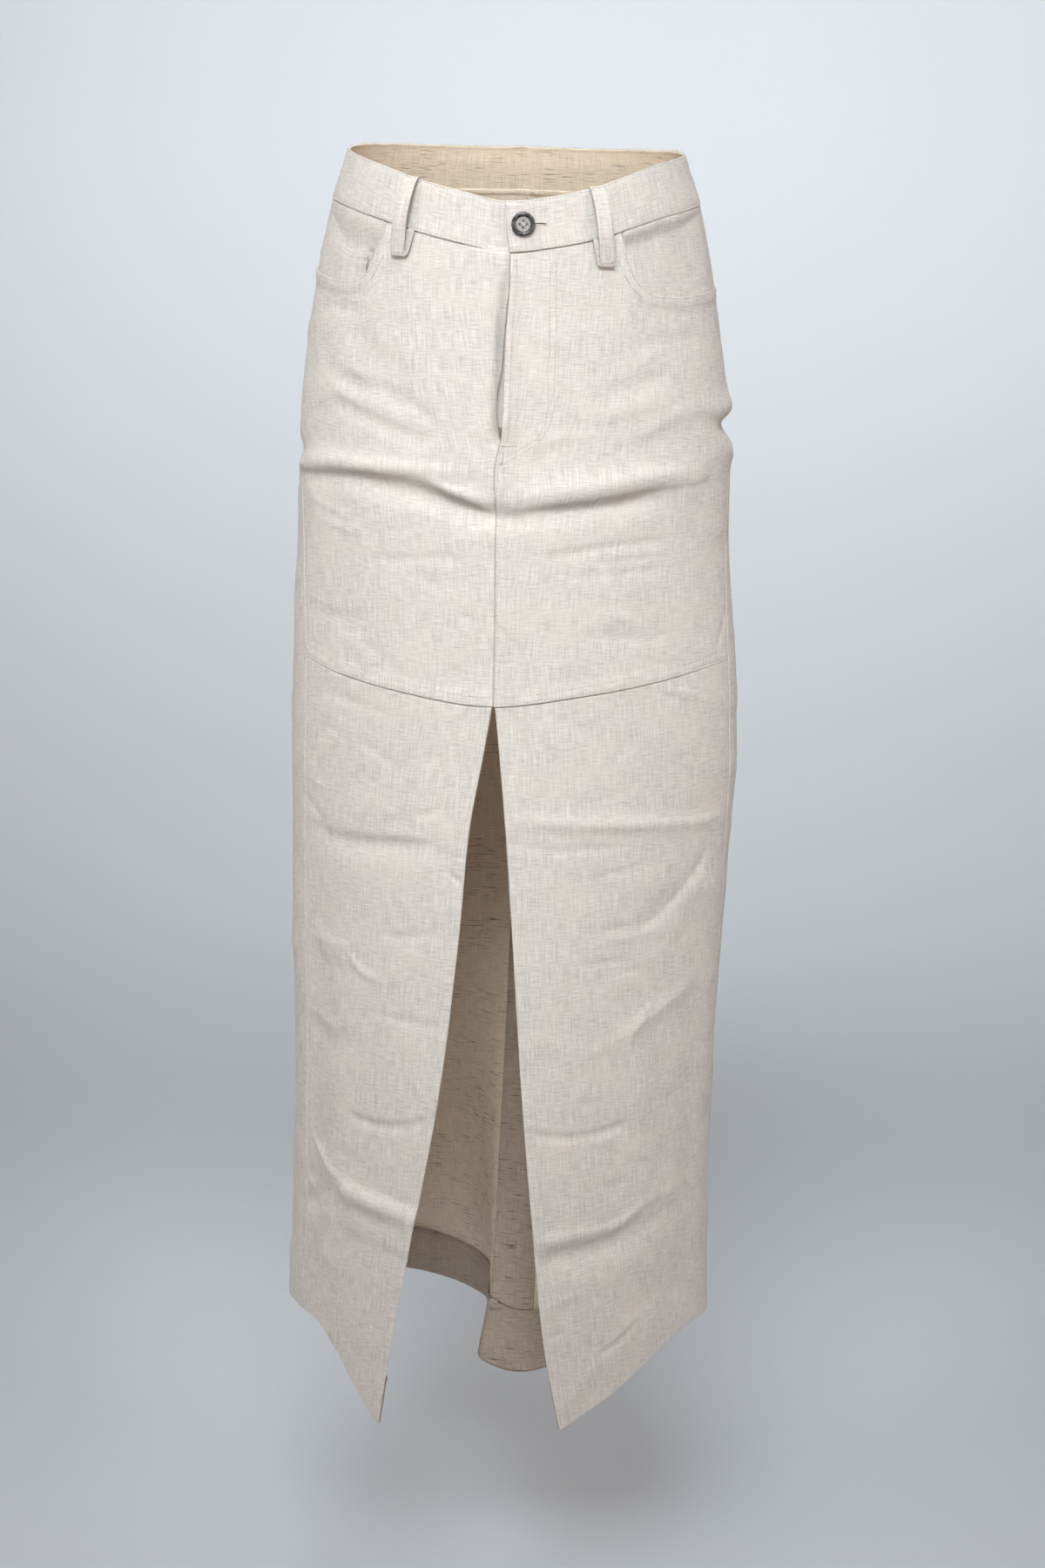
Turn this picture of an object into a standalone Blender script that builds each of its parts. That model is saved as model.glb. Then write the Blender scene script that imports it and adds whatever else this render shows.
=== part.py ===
"""Linen maxi skirt with a front slit, in its worn form, as the pieces that are cut and sewn.

Metres, +Z up. The origin is in the middle of the waist, at the height of the button's upper edge.
-Y is the front and +X is the wearer's left. Every piece is a patch of one body surface: an angle
round the body, 0 at centre front and growing towards the wearer's left, and a height give a point,
and a piece that lies under or over another is made from the same points, moved in or out.
"""

import math

import bmesh
import bpy
import numpy as np
from mathutils import Matrix, Vector

# ---- Driving sizes -----------------------------------------------------------------------------
WALL = 0.0015  # one layer of cloth
BAND_WALL = 0.0024  # waistband: two layers and its stiffening
SEAM_GAP = 0.0003  # between two pieces that are sewn edge to edge
LAYER_GAP = 0.0004  # between two pieces that lie on each other
HEM_GAP = 0.0014  # between a turned-up hem and its panel
POCKET_GAP = 0.0008  # between the layers in a pocket mouth and at the fly
BAND_HEIGHT = 0.042
HEM_DEPTH = 0.050
HEM_ABOVE = 0.0008  # the hem's inner edge, above the panel's lower edge
COIN_WALL = 0.0010
LOOP_WIDTH = 0.013
LOOP_WALL = 0.0018
LOOP_STAND = 0.0090  # how far a belt loop stands off in its middle
BUTTON_DIAMETER = 0.020
BUTTON_HEIGHT = 0.0034
HOLE_RADIUS = 0.0010
HOLE_FROM_MIDDLE = 0.0026
MEAN_RADIUS = 0.17  # of the body, for turning a small length into an angle

# ---- The body: one row for each ring -----------------------------------------------------------
# right and left are the half widths at the wearer's sides, front and back the depths from the
# middle, and flat says how much the ring narrows towards its sides, from an ellipse to a lens.
RING_COLUMNS = ("height", "right", "left", "front", "back", "flat")
RINGS = (
    (0.060, 0.1400, 0.1410, 0.105, 0.098, 0.00),
    (0.041, 0.1450, 0.1455, 0.107, 0.100, 0.00),
    (0.000, 0.1580, 0.1600, 0.112, 0.108, 0.00),
    (-0.045, 0.1680, 0.1710, 0.116, 0.116, 0.02),
    (-0.090, 0.1750, 0.1790, 0.118, 0.124, 0.04),
    (-0.180, 0.1850, 0.1930, 0.121, 0.134, 0.07),
    (-0.300, 0.1880, 0.1980, 0.122, 0.136, 0.10),
    (-0.450, 0.1920, 0.2120, 0.125, 0.135, 0.14),
    (-0.600, 0.1910, 0.2080, 0.132, 0.138, 0.18),
    (-0.800, 0.1870, 0.2020, 0.145, 0.150, 0.22),
    (-1.000, 0.1910, 0.2055, 0.158, 0.166, 0.26),
    (-1.110, 0.1940, 0.2075, 0.163, 0.172, 0.28),
)

# ---- Folds: a ridge where out is positive, a trough where it is negative -----------------------
# rise is how much the fold climbs for each radian towards the wearer's left; half_angle and
# half_height are its half length and half breadth.
FOLD_COLUMNS = ("angle", "height", "rise", "half_angle", "half_height", "out")
FOLDS = (
    # across the hips
    (-42, -0.2245, 0.002, 34, 0.0100, 0.0060),
    (-38, -0.2425, -0.004, 30, 0.0085, -0.0065),
    (-11, -0.2475, -0.045, 8, 0.0060, 0.0030),
    (-7, -0.2600, -0.040, 10, 0.0070, -0.0050),
    (26, -0.2490, 0.024, 34, 0.0095, -0.0065),
    (30, -0.2270, 0.024, 34, 0.0150, 0.0045),
    (86, -0.2050, 0.000, 16, 0.0110, -0.0085),
    (86, -0.1800, 0.000, 16, 0.0120, 0.0030),
    (-82, -0.2220, 0.000, 16, 0.0110, -0.0050),
    (-38, -0.1350, -0.120, 14, 0.0160, -0.0025),
    # lower fronts
    (36, -0.5330, -0.012, 36, 0.0080, 0.0035),
    (50, -0.6000, 0.130, 12, 0.0120, -0.0040),
    (-36, -0.5560, 0.006, 28, 0.0120, -0.0025),
    (-36, -0.8730, -0.044, 20, 0.0140, 0.0050),
    (-30, -0.8950, -0.020, 16, 0.0110, -0.0035),
    (30, -0.9150, 0.030, 24, 0.0120, -0.0040),
    # back, under the seat and down the panels
    (150, -0.2650, 0.030, 26, 0.0130, -0.0060),
    (205, -0.2800, -0.030, 24, 0.0130, -0.0055),
    (178, -0.2450, 0.000, 34, 0.0170, 0.0040),
    (128, -0.5600, 0.060, 20, 0.0150, -0.0040),
    (232, -0.6400, -0.050, 20, 0.0150, -0.0040),
)

# ---- The back's fold: its centre hangs forward between the legs --------------------------------
# beside is the angle from centre back, positive towards the wearer's left; sideways and backwards
# are how far the hem is moved there.
DRAPE_COLUMNS = ("beside", "sideways", "backwards")
DRAPE = (
    (-90, 0.000, 0.000),
    (-74, -0.002, 0.014),
    (-58, 0.012, 0.036),
    (-46, 0.030, 0.048),
    (-36, 0.046, 0.030),
    (-28, 0.058, 0.000),
    (-21, 0.062, -0.040),
    (-14, 0.050, -0.092),
    (-7, 0.020, -0.150),
    (-2, -0.003, -0.190),
    (0, -0.009, -0.200),
    (2, -0.010, -0.202),
    (10, -0.004, -0.200),
    (20, 0.000, -0.180),
    (34, 0.003, -0.124),
    (50, 0.002, -0.056),
    (68, 0.000, -0.010),
    (90, 0.000, 0.000),
)
DRAPE_TOP = -0.58  # where the fold begins
DRAPE_HEM = -1.08  # where it is as deep as DRAPE says

# ---- Lines round the body: angle and height ----------------------------------------------------
WAIST_LINE = (
    (-180, 0.048),
    (-90, 0.0415),
    (-57, 0.0300),
    (-43, 0.0225),
    (-28, 0.0125),
    (-14, 0.0040),
    (0, -0.0030),
    (12, 0.0010),
    (25, 0.0085),
    (40, 0.0205),
    (52, 0.0290),
    (66, 0.0350),
    (90, 0.0415),
    (180, 0.048),
)
CROSS_LINE = (
    (-90, -0.392),
    (-62, -0.4015),
    (-45, -0.4100),
    (-26, -0.4185),
    (0, -0.4270),
    (20, -0.4180),
    (36, -0.4100),
    (57, -0.3995),
    (90, -0.390),
)
HEM_LINE = (
    (-180, -1.078),
    (-140, -1.062),
    (-110, -1.036),
    (-86, -1.020),
    (-64, -1.017),
    (-53, -1.019),
    (-45, -1.035),
    (-28, -1.0905),
    (0, -1.105),
    (22, -1.0885),
    (27, -1.0720),
    (40, -1.0525),
    (48, -1.0400),
    (54, -1.0255),
    (70, -1.0210),
    (90, -1.0220),
    (115, -1.036),
    (145, -1.064),
    (180, -1.078),
)
# The pocket mouths leave the waist seam at their first angle and end at the side seam.
MOUTH_RIGHT = (
    (-90, -0.0610),
    (-67, -0.0700),
    (-57, -0.0725),
    (-49, -0.0710),
    (-44.2, -0.0640),
    (-41.8, -0.0510),
    (-39.6, -0.0350),
    (-38.0, -0.0220),
)
MOUTH_LEFT = (
    (34.4, -0.0270),
    (35.4, -0.0440),
    (37.4, -0.0600),
    (41.5, -0.0730),
    (50, -0.0785),
    (65, -0.0768),
    (90, -0.0700),
)
COIN_LINE = ((-80, -0.0280), (-62, -0.0400), (-55, -0.0465), (-44.6, -0.0485))
COIN_SIDES = (-80.0, -44.6)
COIN_BELOW = 0.010  # how far the coin pocket reaches below the mouth
COIN_LOWEST = -0.070  # and the height that it reaches at least
FACING_INSIDE = 4.0  # how far a facing reaches past the mouth's start, towards centre front
FACING_BELOW = 0.012
FACING_LOWEST = -0.062

# ---- Edges down the body: height and angle -----------------------------------------------------
SIDE_RIGHT = ((0.06, -88), (-0.08, -86), (-0.25, -74), (-0.40, -65), (-0.60, -65), (-1.10, -63))
SIDE_LEFT = ((0.06, 88), (-0.08, 88), (-0.25, 82), (-0.40, 75), (-0.60, 78), (-1.10, 88))
FLY_COLUMNS = ("height", "middle", "opening")
FLY = (
    (0.000, 0.4, 0.2),
    (-0.046, 0.4, 0.4),
    (-0.080, 0.0, 1.0),
    (-0.120, -0.8, 1.6),
    (-0.165, -0.8, 1.3),
    (-0.200, -0.6, 0.2),
    (-0.215, -0.6, 0.0),
    (-0.300, -0.4, 0.0),
    (-0.430, -0.2, 0.0),
)
SLIT_RIGHT = (
    (-0.42, 0.0),
    (-0.47, -2.6),
    (-0.53, -5.6),
    (-0.63, -7.9),
    (-0.77, -12.3),
    (-0.91, -19.2),
    (-1.00, -23.9),
    (-1.10, -27.9),
)
SLIT_LEFT = (
    (-0.42, 0.0),
    (-0.47, 1.2),
    (-0.53, 2.9),
    (-0.63, 5.5),
    (-0.77, 9.1),
    (-0.91, 13.4),
    (-1.00, 16.4),
    (-1.10, 22.0),
)
CENTRE_BACK = 178.0
SIDE_AT_WAIST = 88.0
NEAR_CENTRE = 5.0  # one more column, where the waist dips at centre front
BAND_END = -0.7  # where the waistband's upper end stops
BAND_TUCK = 12.0  # the angle over which its lower end goes in under the upper one
BAND_UNDER = 13.0  # how far the lower end reaches past centre front
UNDERLAP_SIDES = (-4.0, 10.0)
UNDERLAP_BOTTOM = -0.190
BUTTON_ANGLE = 4.5
BUTTON_HEIGHT_ON_BAND = -0.0220

# ---- Belt loops: angle at the top and at the bottom --------------------------------------------
LOOPS = (
    ("belt_loop_front_right", -31.5, -32.6),
    ("belt_loop_front_left", 27.3, 30.0),
    ("belt_loop_side_right", -112.0, -112.0),
    ("belt_loop_side_left", 112.0, 112.0),
    ("belt_loop_back", 180.0, 180.0),
)
LOOP_TOP = -0.0015  # from the band's upper edge
LOOP_BOTTOM = -0.0680

# ---- Half the button's section: shares of its radius and of its height --------------------------
BUTTON_PROFILE = (
    (0.00, 0.55),
    (0.45, 0.58),
    (0.62, 0.72),
    (0.74, 0.97),
    (0.86, 1.00),
    (0.96, 0.80),
    (1.00, 0.50),
    (0.92, 0.12),
    (0.80, 0.00),
    (0.00, 0.00),
)

# ---- Mesh spacing ------------------------------------------------------------------------------
COLUMN_STEP = 9.0  # degrees
EDGE_STEP = 1.6  # the narrow column along each seam
ROW_STEP = 0.034
ROW_REACH = 0.125  # how far from a panel's top or bottom its rows bend with that edge
LOWEST_ROW = -1.040
WAIST_LEVEL = -0.045  # the seams and the hem, before they rise and fall round the body
CROSS_LEVEL = -0.412
HEM_LEVEL = -1.050
# where rows are closer: the height, half the reach and the step there
CLOSE_ROWS = ((-0.040, 0.075, 0.017), (-0.240, 0.046, 0.0105), (-0.890, 0.060, 0.021))

LINEN = (0.62, 0.575, 0.52, 1.0)
LINEN_SHADE = (0.56, 0.51, 0.45, 1.0)
HORN = (0.11, 0.10, 0.09, 1.0)


def column(table, columns, name):
    """One named column of a table, as an array."""
    return np.array([row[columns.index(name)] for row in table], float)


def smooth(at, x, y):
    """A cubic through the points (x, y), x ascending, whose slopes are the mean of the chords'."""
    slope = np.gradient(y, x)
    at = np.clip(at, x[0], x[-1])
    i = np.clip(np.searchsorted(x, at) - 1, 0, len(x) - 2)
    width = x[i + 1] - x[i]
    t = (at - x[i]) / width
    return (
        (2 * t**3 - 3 * t**2 + 1) * y[i]
        + (t**3 - 2 * t**2 + t) * width * slope[i]
        + (3 * t**2 - 2 * t**3) * y[i + 1]
        + (t**3 - t**2) * width * slope[i + 1]
    )


def line(table):
    """The function that a table of pairs stands for, whichever way its first column runs."""
    pairs = np.array(sorted(table), float)
    return lambda at: smooth(np.asarray(at, float), pairs[:, 0], pairs[:, 1])


def ring(name, height):
    """One of the rings' sizes at a height."""
    heights = column(RINGS, RING_COLUMNS, "height")[::-1]
    return smooth(height, heights, column(RINGS, RING_COLUMNS, name)[::-1])


def wrapped(angle):
    """Degrees between -180 and 180."""
    return (angle + 180.0) % 360.0 - 180.0


def fold_out(angle, height):
    """How far the folds move a point out of its ring: the sum of one soft bump for each fold."""
    total = np.zeros(np.broadcast(angle, height).shape)
    for row in FOLDS:
        fold = dict(zip(FOLD_COLUMNS, row))
        turn = wrapped(angle - fold["angle"])
        along = 1.18 * turn / fold["half_angle"]
        across = (height - fold["height"] - fold["rise"] * np.radians(turn)) / fold["half_height"]
        total = total + fold["out"] * np.exp(-(along**2) - across**2)
    return total


def drape(angle, height):
    """The sideways and backwards move of the back's hanging fold."""
    beside = -wrapped(angle - CENTRE_BACK)
    share = np.clip((DRAPE_TOP - height) / (DRAPE_TOP - DRAPE_HEM), 0.0, 1.08)
    turns = column(DRAPE, DRAPE_COLUMNS, "beside")
    inside = np.abs(beside) < turns[-1]
    return [
        inside * share**power * smooth(beside, turns, column(DRAPE, DRAPE_COLUMNS, name))
        for name, power in (("sideways", 2.2), ("backwards", 1.5))
    ]


def skin(angle, height):
    """The points of the body surface at these angles (degrees) and heights."""
    angle, height = np.broadcast_arrays(np.asarray(angle, float), np.asarray(height, float))
    turn = np.radians(angle)
    side, front = np.sin(turn), np.cos(turn)
    half_width = ring("right", height) * (1 - side) / 2 + ring("left", height) * (1 + side) / 2
    depth = ring("front", height) * (1 + front) / 2 + ring("back", height) * (1 - front) / 2
    out = fold_out(angle, height)
    sideways, backwards = drape(angle, height)
    x = (half_width + out) * side + sideways
    y = -(depth + out) * front * (1 - ring("flat", height) * side**2) + backwards
    return np.stack([x, y, height], axis=-1)


def normal(angle, height):
    """The outward normal of the body surface, from small steps either way."""
    da, dh = 0.05, 0.0005
    across = skin(angle + da, height) - skin(angle - da, height)
    up = skin(angle, height + dh) - skin(angle, height - dh)
    n = np.cross(across, up)
    return n / np.linalg.norm(n, axis=-1, keepdims=True)


def lifted(angle, height, out):
    """Points of the body surface moved out along its normal."""
    out = np.broadcast_to(out, np.broadcast(angle, height).shape)
    return skin(angle, height) + normal(angle, height) * out[..., None]


def row_levels():
    """The heights of all rows: ROW_STEP apart, and closer near the waist and across the folds."""
    fine = np.linspace(0.0, LOWEST_ROW, 3000)
    rows_per_metre = np.full(fine.shape, 1 / ROW_STEP)
    for level, half_span, step in CLOSE_ROWS:
        inside = np.exp(-(((fine - level) / half_span) ** 4))
        rows_per_metre = np.maximum(rows_per_metre, inside / step)
    count = np.concatenate([[0], np.cumsum(rows_per_metre[1:]) * -LOWEST_ROW / 2999])
    return np.interp(np.arange(0, count[-1] + 0.5), count, fine)


def rows_between(top, bottom):
    """The levels between two heights, with those heights as first and last row."""
    inside = [h for h in row_levels() if bottom + ROW_STEP / 3 < h < top - ROW_STEP / 6]
    return np.array([top, *inside, bottom])


def column_angles(start, stop, also=()):
    """Angles from start to stop: a narrow column at each end, the rest COLUMN_STEP apart."""
    low, high = start + EDGE_STEP, stop - EDGE_STEP
    even = np.linspace(low, high, max(1, round((high - low) / COLUMN_STEP)) + 1)
    extra = [a for a in also if low < a < high]
    even = [a for a in even if all(abs(a - b) > COLUMN_STEP / 3 for b in extra)]
    return np.array(sorted([start, *even, *extra, stop]))


def patch(edge_a, edge_b, top, bottom, angles, heights):
    """The angle and height of each point of a panel's grid.

    edge_a and edge_b give the panel's side edges as angles at a height, top and bottom its other
    edges as heights at an angle. Columns keep their shares of the way between the side edges. Rows
    keep their heights, apart from those within reach of the top or the bottom, which bend with it.
    """
    across = (angles - angles[0]) / (angles[-1] - angles[0])
    across, level = np.meshgrid(across, heights)
    reach = min(ROW_REACH, heights[0] - heights[-1])
    near_top = np.clip(1 - (heights[0] - level) / reach, 0.0, 1.0)
    near_bottom = np.clip(1 - (level - heights[-1]) / reach, 0.0, 1.0)
    half_gap = np.degrees(SEAM_GAP / 2 / MEAN_RADIUS)
    height = level
    for _ in range(6):
        low, high = edge_a(height) + half_gap, edge_b(height) - half_gap
        angle = low + (high - low) * across
        upper = top(wrapped(angle)) - SEAM_GAP / 2 - heights[0]
        lower = bottom(wrapped(angle)) + SEAM_GAP / 2 - heights[-1]
        height = level + upper * near_top + lower * near_bottom
    return angle, height


def material(name, colour, roughness):
    """A plain finish."""
    made = bpy.data.materials.new(name)
    made.use_nodes = True
    shader = made.node_tree.nodes["Principled BSDF"]
    shader.inputs["Base Color"].default_value = colour
    shader.inputs["Roughness"].default_value = roughness
    shader.inputs["Metallic"].default_value = 0.0
    return made


def finished(name, mesh, parts, finish):
    """Links a new object with its finish to the skirt's collection."""
    mesh.materials.append(finish)
    piece = bpy.data.objects.new(name, mesh)
    parts.objects.link(piece)
    return piece


def grid_mesh(name, points):
    """An open surface through a grid of points, its rows running down and its columns leftwards."""
    rows, columns = points.shape[:2]
    bm = bmesh.new()
    bmesh.ops.create_grid(bm, x_segments=columns - 1, y_segments=rows - 1, size=0.5)
    for vertex in bm.verts:
        i = round((0.5 - vertex.co.y) * (rows - 1))
        j = round((vertex.co.x + 0.5) * (columns - 1))
        vertex.co = points[i, j]
    mesh = bpy.data.meshes.new(name)
    bm.to_mesh(mesh)
    bm.free()
    mesh.shade_smooth()
    return mesh


def cloth(name, points, wall, parts, finish):
    """A piece of cloth: an open surface that Solidify thickens inwards."""
    piece = finished(name, grid_mesh(name, points), parts, finish)
    thick = piece.modifiers.new("wall", "SOLIDIFY")
    thick.thickness = wall
    thick.offset = -1.0
    return piece


def fly_edge(side):
    """The fly's edge on one front: half the opening to that side of its middle."""
    heights = column(FLY, FLY_COLUMNS, "height")[::-1]
    middle = column(FLY, FLY_COLUMNS, "middle")[::-1]
    opening = column(FLY, FLY_COLUMNS, "opening")[::-1]
    return lambda at: (
        smooth(at, heights, middle) + side * np.maximum(smooth(at, heights, opening), 0.0) / 2
    )


def constant(value):
    """An edge or a line that stays at one value."""
    return lambda at: np.full(np.shape(at), float(value))


def shifted(function, by):
    """The same edge or line, moved."""
    return lambda at: function(at) + by


def upper_top(mouth_table, side):
    """The top of an upper front: the waist seam, and the pocket mouth beyond its start."""
    start = min(abs(a) for a, _ in mouth_table)
    mouth = line(mouth_table)

    def top(angle):
        seam = waist_seam(angle)
        return np.where(side * angle < start, seam, np.minimum(seam, mouth(angle)))

    return top


waist_line = line(WAIST_LINE)
waist_seam = shifted(waist_line, -BAND_HEIGHT)
cross_seam = line(CROSS_LINE)
hem_line = line(HEM_LINE)
side_right, side_left = line(SIDE_RIGHT), line(SIDE_LEFT)


def front_columns(side, mouth=()):
    """The column angles of a front, from the wearer's right to the left."""
    first, last = sorted((0.0, side * SIDE_AT_WAIST))
    return column_angles(first, last, [side * NEAR_CENTRE] + [a for a, _ in mouth])


def back_columns(side):
    """The column angles of a back, with those where its hanging fold turns."""
    first, last = sorted((CENTRE_BACK, CENTRE_BACK - side * (CENTRE_BACK - SIDE_AT_WAIST)))
    return column_angles(first, last, [CENTRE_BACK - row[0] for row in DRAPE])


def make_fronts(parts, finish):
    """The upper and lower fronts. Each panel's edge on the wearer's right comes first."""
    for name, side, slit, seam, mouth in (
        ("right", -1, line(SLIT_RIGHT), side_right, MOUTH_RIGHT),
        ("left", 1, line(SLIT_LEFT), side_left, MOUTH_LEFT),
    ):
        upper_edges = (fly_edge(side), seam)[::side]
        angles = front_columns(side, mouth)
        rows = rows_between(WAIST_LEVEL, CROSS_LEVEL)
        grid = patch(*upper_edges, upper_top(mouth, side), cross_seam, angles, rows)
        cloth(f"front_upper_{name}", skin(*grid), WALL, parts, finish)

        lower_edges = (slit, seam)[::side]
        angles = front_columns(side)
        rows = rows_between(CROSS_LEVEL, HEM_LEVEL)
        grid = patch(*lower_edges, cross_seam, hem_line, angles, rows)
        cloth(f"front_lower_{name}", skin(*grid), WALL, parts, finish)
        make_hem(f"hem_front_{name}", lower_edges, angles, parts, finish)


def make_backs(parts, finish):
    """The backs, from the waist seam to the hem, each side of the centre-back seam."""
    centre = constant(CENTRE_BACK)
    for name, side, edges in (
        ("left", 1, (side_left, centre)),
        ("right", -1, (centre, shifted(side_right, 360.0))),
    ):
        angles = back_columns(side)
        grid = patch(*edges, waist_seam, hem_line, angles, rows_between(0.0, HEM_LEVEL))
        cloth(f"back_{name}", skin(*grid), WALL, parts, finish)
        make_hem(f"hem_back_{name}", edges, angles, parts, finish)


def make_hem(name, edges, angles, parts, finish):
    """A turned-up hem, inside its panel and with the panel's own columns."""
    top, bottom = shifted(hem_line, HEM_DEPTH), shifted(hem_line, HEM_ABOVE)
    heights = rows_between(HEM_LEVEL + HEM_DEPTH, HEM_LEVEL)
    grid = patch(*edges, top, bottom, angles, heights)
    cloth(name, lifted(*grid, -WALL - HEM_GAP), WALL, parts, finish)


def no_higher(function, height):
    """A line held down to a height where it would rise above it."""
    return lambda at: np.minimum(function(at), height)


def make_pockets(parts, finish):
    """The facing that shows in each pocket mouth, and the coin pocket on the right one."""
    coin_in = WALL + POCKET_GAP
    facing_in = {"right": coin_in + COIN_WALL + POCKET_GAP, "left": coin_in}
    heights = np.linspace(0.0, -0.08, 6)
    for name, side, seam, mouth in (
        ("right", -1, side_right, MOUTH_RIGHT),
        ("left", 1, side_left, MOUTH_LEFT),
    ):
        inner = side * (min(abs(a) for a, _ in mouth) - FACING_INSIDE)
        edges = (constant(inner), seam)[::side]
        angles = column_angles(*(inner, side * SIDE_AT_WAIST)[::side])
        bottom = no_higher(shifted(upper_top(mouth, side), -FACING_BELOW), FACING_LOWEST)
        grid = patch(*edges, waist_seam, bottom, angles, heights)
        cloth(f"pocket_facing_{name}", lifted(*grid, -facing_in[name]), WALL, parts, finish)
    edges = [constant(angle) for angle in COIN_SIDES]
    bottom = no_higher(shifted(line(MOUTH_RIGHT), -COIN_BELOW), COIN_LOWEST)
    grid = patch(*edges, line(COIN_LINE), bottom, column_angles(*COIN_SIDES), heights)
    cloth("coin_pocket", lifted(*grid, -coin_in), COIN_WALL, parts, finish)


def make_waistband(parts, finish):
    """One band round the body; its lower end goes in and on under the upper one."""
    start, stop = BAND_END, 360.0 + BAND_UNDER
    tucked = 360.0 + BAND_END - 2.0
    seams = [front_columns(1, MOUTH_LEFT), back_columns(1), back_columns(-1)]
    seams.append(front_columns(-1, MOUTH_RIGHT) + 360.0)
    round_body = np.unique(np.round(np.concatenate(seams), 2))
    inside = round_body[(round_body > start + 1) & (round_body < tucked - BAND_TUCK - 1)]
    tuck_angles = np.linspace(tucked - BAND_TUCK, tucked, 5)
    under_angles = np.linspace(tucked, stop, 5)[1:]
    angles = np.concatenate([[start], inside, tuck_angles, under_angles])
    shares = np.linspace(0.0, 1.0, 4)
    angle, share = np.meshgrid(angles, shares)
    top = waist_line(wrapped(angle))
    height = top - SEAM_GAP / 2 - share * (BAND_HEIGHT - SEAM_GAP)
    t = np.clip((angle - (tucked - BAND_TUCK)) / BAND_TUCK, 0.0, 1.0)
    tuck = t * t * (3 - 2 * t) * (BAND_WALL + LAYER_GAP)
    cloth("waistband", lifted(angle, height, -tuck), BAND_WALL, parts, finish)


def make_fly_underlap(parts, finish):
    """The strip behind the fly opening, sewn along the wearer's right front."""
    angles = np.linspace(*UNDERLAP_SIDES, 5)
    heights = np.linspace(WAIST_LEVEL, UNDERLAP_BOTTOM, 7)
    edges = [constant(angle) for angle in UNDERLAP_SIDES]
    top = shifted(waist_seam, -SEAM_GAP)
    grid = patch(*edges, top, constant(UNDERLAP_BOTTOM), angles, heights)
    cloth("fly_underlap", lifted(*grid, -WALL - POCKET_GAP), WALL, parts, finish)


def make_loops(parts, finish):
    """Belt loops: strips that lie on the cloth at both ends and stand off it between them."""
    along = np.linspace(0.0, 1.0, 11)
    for name, top_angle, bottom_angle in LOOPS:
        middle = top_angle + (bottom_angle - top_angle) * along
        top = waist_line(wrapped(np.array(middle[0])))
        level = top + LOOP_TOP + (LOOP_BOTTOM - LOOP_TOP) * along
        one_degree = skin(top_angle + 0.5, top) - skin(top_angle - 0.5, top)
        half = LOOP_WIDTH / 2 / np.linalg.norm(one_degree)
        angle = middle[:, None] + np.array([-half, 0.0, half])
        bow = np.clip(np.sin(math.pi * along), 0.0, 1.0) ** 0.8
        out = LAYER_GAP + LOOP_WALL + LOOP_STAND * bow
        height, out = np.broadcast_arrays(level[:, None], out[:, None])
        cloth(name, lifted(angle, height, out), LOOP_WALL, parts, finish)


def button_disc(parts, finish):
    """A disc turned from half its section: a raised rim, a hollow middle and a flat back."""
    profile = [(r * BUTTON_DIAMETER / 2, z * BUTTON_HEIGHT) for r, z in BUTTON_PROFILE]
    bm = bmesh.new()
    points = [bm.verts.new((r, 0.0, z)) for r, z in profile]
    for a, b in zip(points, points[1:]):
        bm.edges.new((a, b))
    mesh = bpy.data.meshes.new("button")
    bm.to_mesh(mesh)
    bm.free()
    button = finished("button", mesh, parts, finish)
    screw = button.modifiers.new("turned", "SCREW")
    screw.steps = screw.render_steps = 24
    screw.use_merge_vertices = True
    screw.merge_threshold = 0.00005
    return button


def make_button(parts, cutters, finish):
    """The disc, set on the waistband, with four holes through it."""
    button = button_disc(parts, finish)
    at, level = np.array(BUTTON_ANGLE), np.array(BUTTON_HEIGHT_ON_BAND)
    outward = Vector(normal(at, level))
    seat = Matrix.Translation(Vector(lifted(at, level, SEAM_GAP)))
    button.matrix_world = seat @ outward.to_track_quat("Z", "Y").to_matrix().to_4x4()
    for i in range(4):
        turn = math.pi / 4 + i * math.pi / 2
        offset = Vector((math.cos(turn), math.sin(turn), 0.0)) * HOLE_FROM_MIDDLE
        hole = bmesh.new()
        bmesh.ops.create_cone(
            hole,
            cap_ends=True,
            segments=12,
            radius1=HOLE_RADIUS,
            radius2=HOLE_RADIUS,
            depth=4 * BUTTON_HEIGHT,
        )
        drill_mesh = bpy.data.meshes.new(f"hole_{i}")
        hole.to_mesh(drill_mesh)
        hole.free()
        drill = bpy.data.objects.new(f"hole_{i}", drill_mesh)
        drill.matrix_world = button.matrix_world @ Matrix.Translation(offset)
        drill.hide_render = True
        drill.display_type = "WIRE"
        cutters.objects.link(drill)
        cut = button.modifiers.new(f"hole_{i}", "BOOLEAN")
        cut.operation = "DIFFERENCE"
        cut.object = drill


def main():
    """Clears the scene and makes every piece."""
    for old in list(bpy.data.objects):
        bpy.data.objects.remove(old, do_unlink=True)
    parts = bpy.data.collections.new("maxi_skirt")
    cutters = bpy.data.collections.new("cutters")
    for collection in (parts, cutters):
        bpy.context.scene.collection.children.link(collection)
    linen = material("linen", LINEN, 0.85)
    shade = material("linen_inside", LINEN_SHADE, 0.9)
    horn = material("button_horn", HORN, 0.35)
    make_waistband(parts, linen)
    make_fronts(parts, linen)
    make_backs(parts, linen)
    make_pockets(parts, shade)
    make_fly_underlap(parts, shade)
    make_loops(parts, linen)
    make_button(parts, cutters, horn)


main()
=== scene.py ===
"""Looks of a linen maxi skirt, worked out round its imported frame.

Every piece of cloth is a thin shell over one worn form. A point of the form has an angle round the
body, 0 at centre front and growing towards the wearer's left, and a height. A panel is a grid of
such points between four edge lines, moved out by its creases, its turned edges and its sewing.
Metres, +Z up, -Y is the front and +X the wearer's left. The origin is the middle of the waist.
"""

from __future__ import annotations

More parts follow.
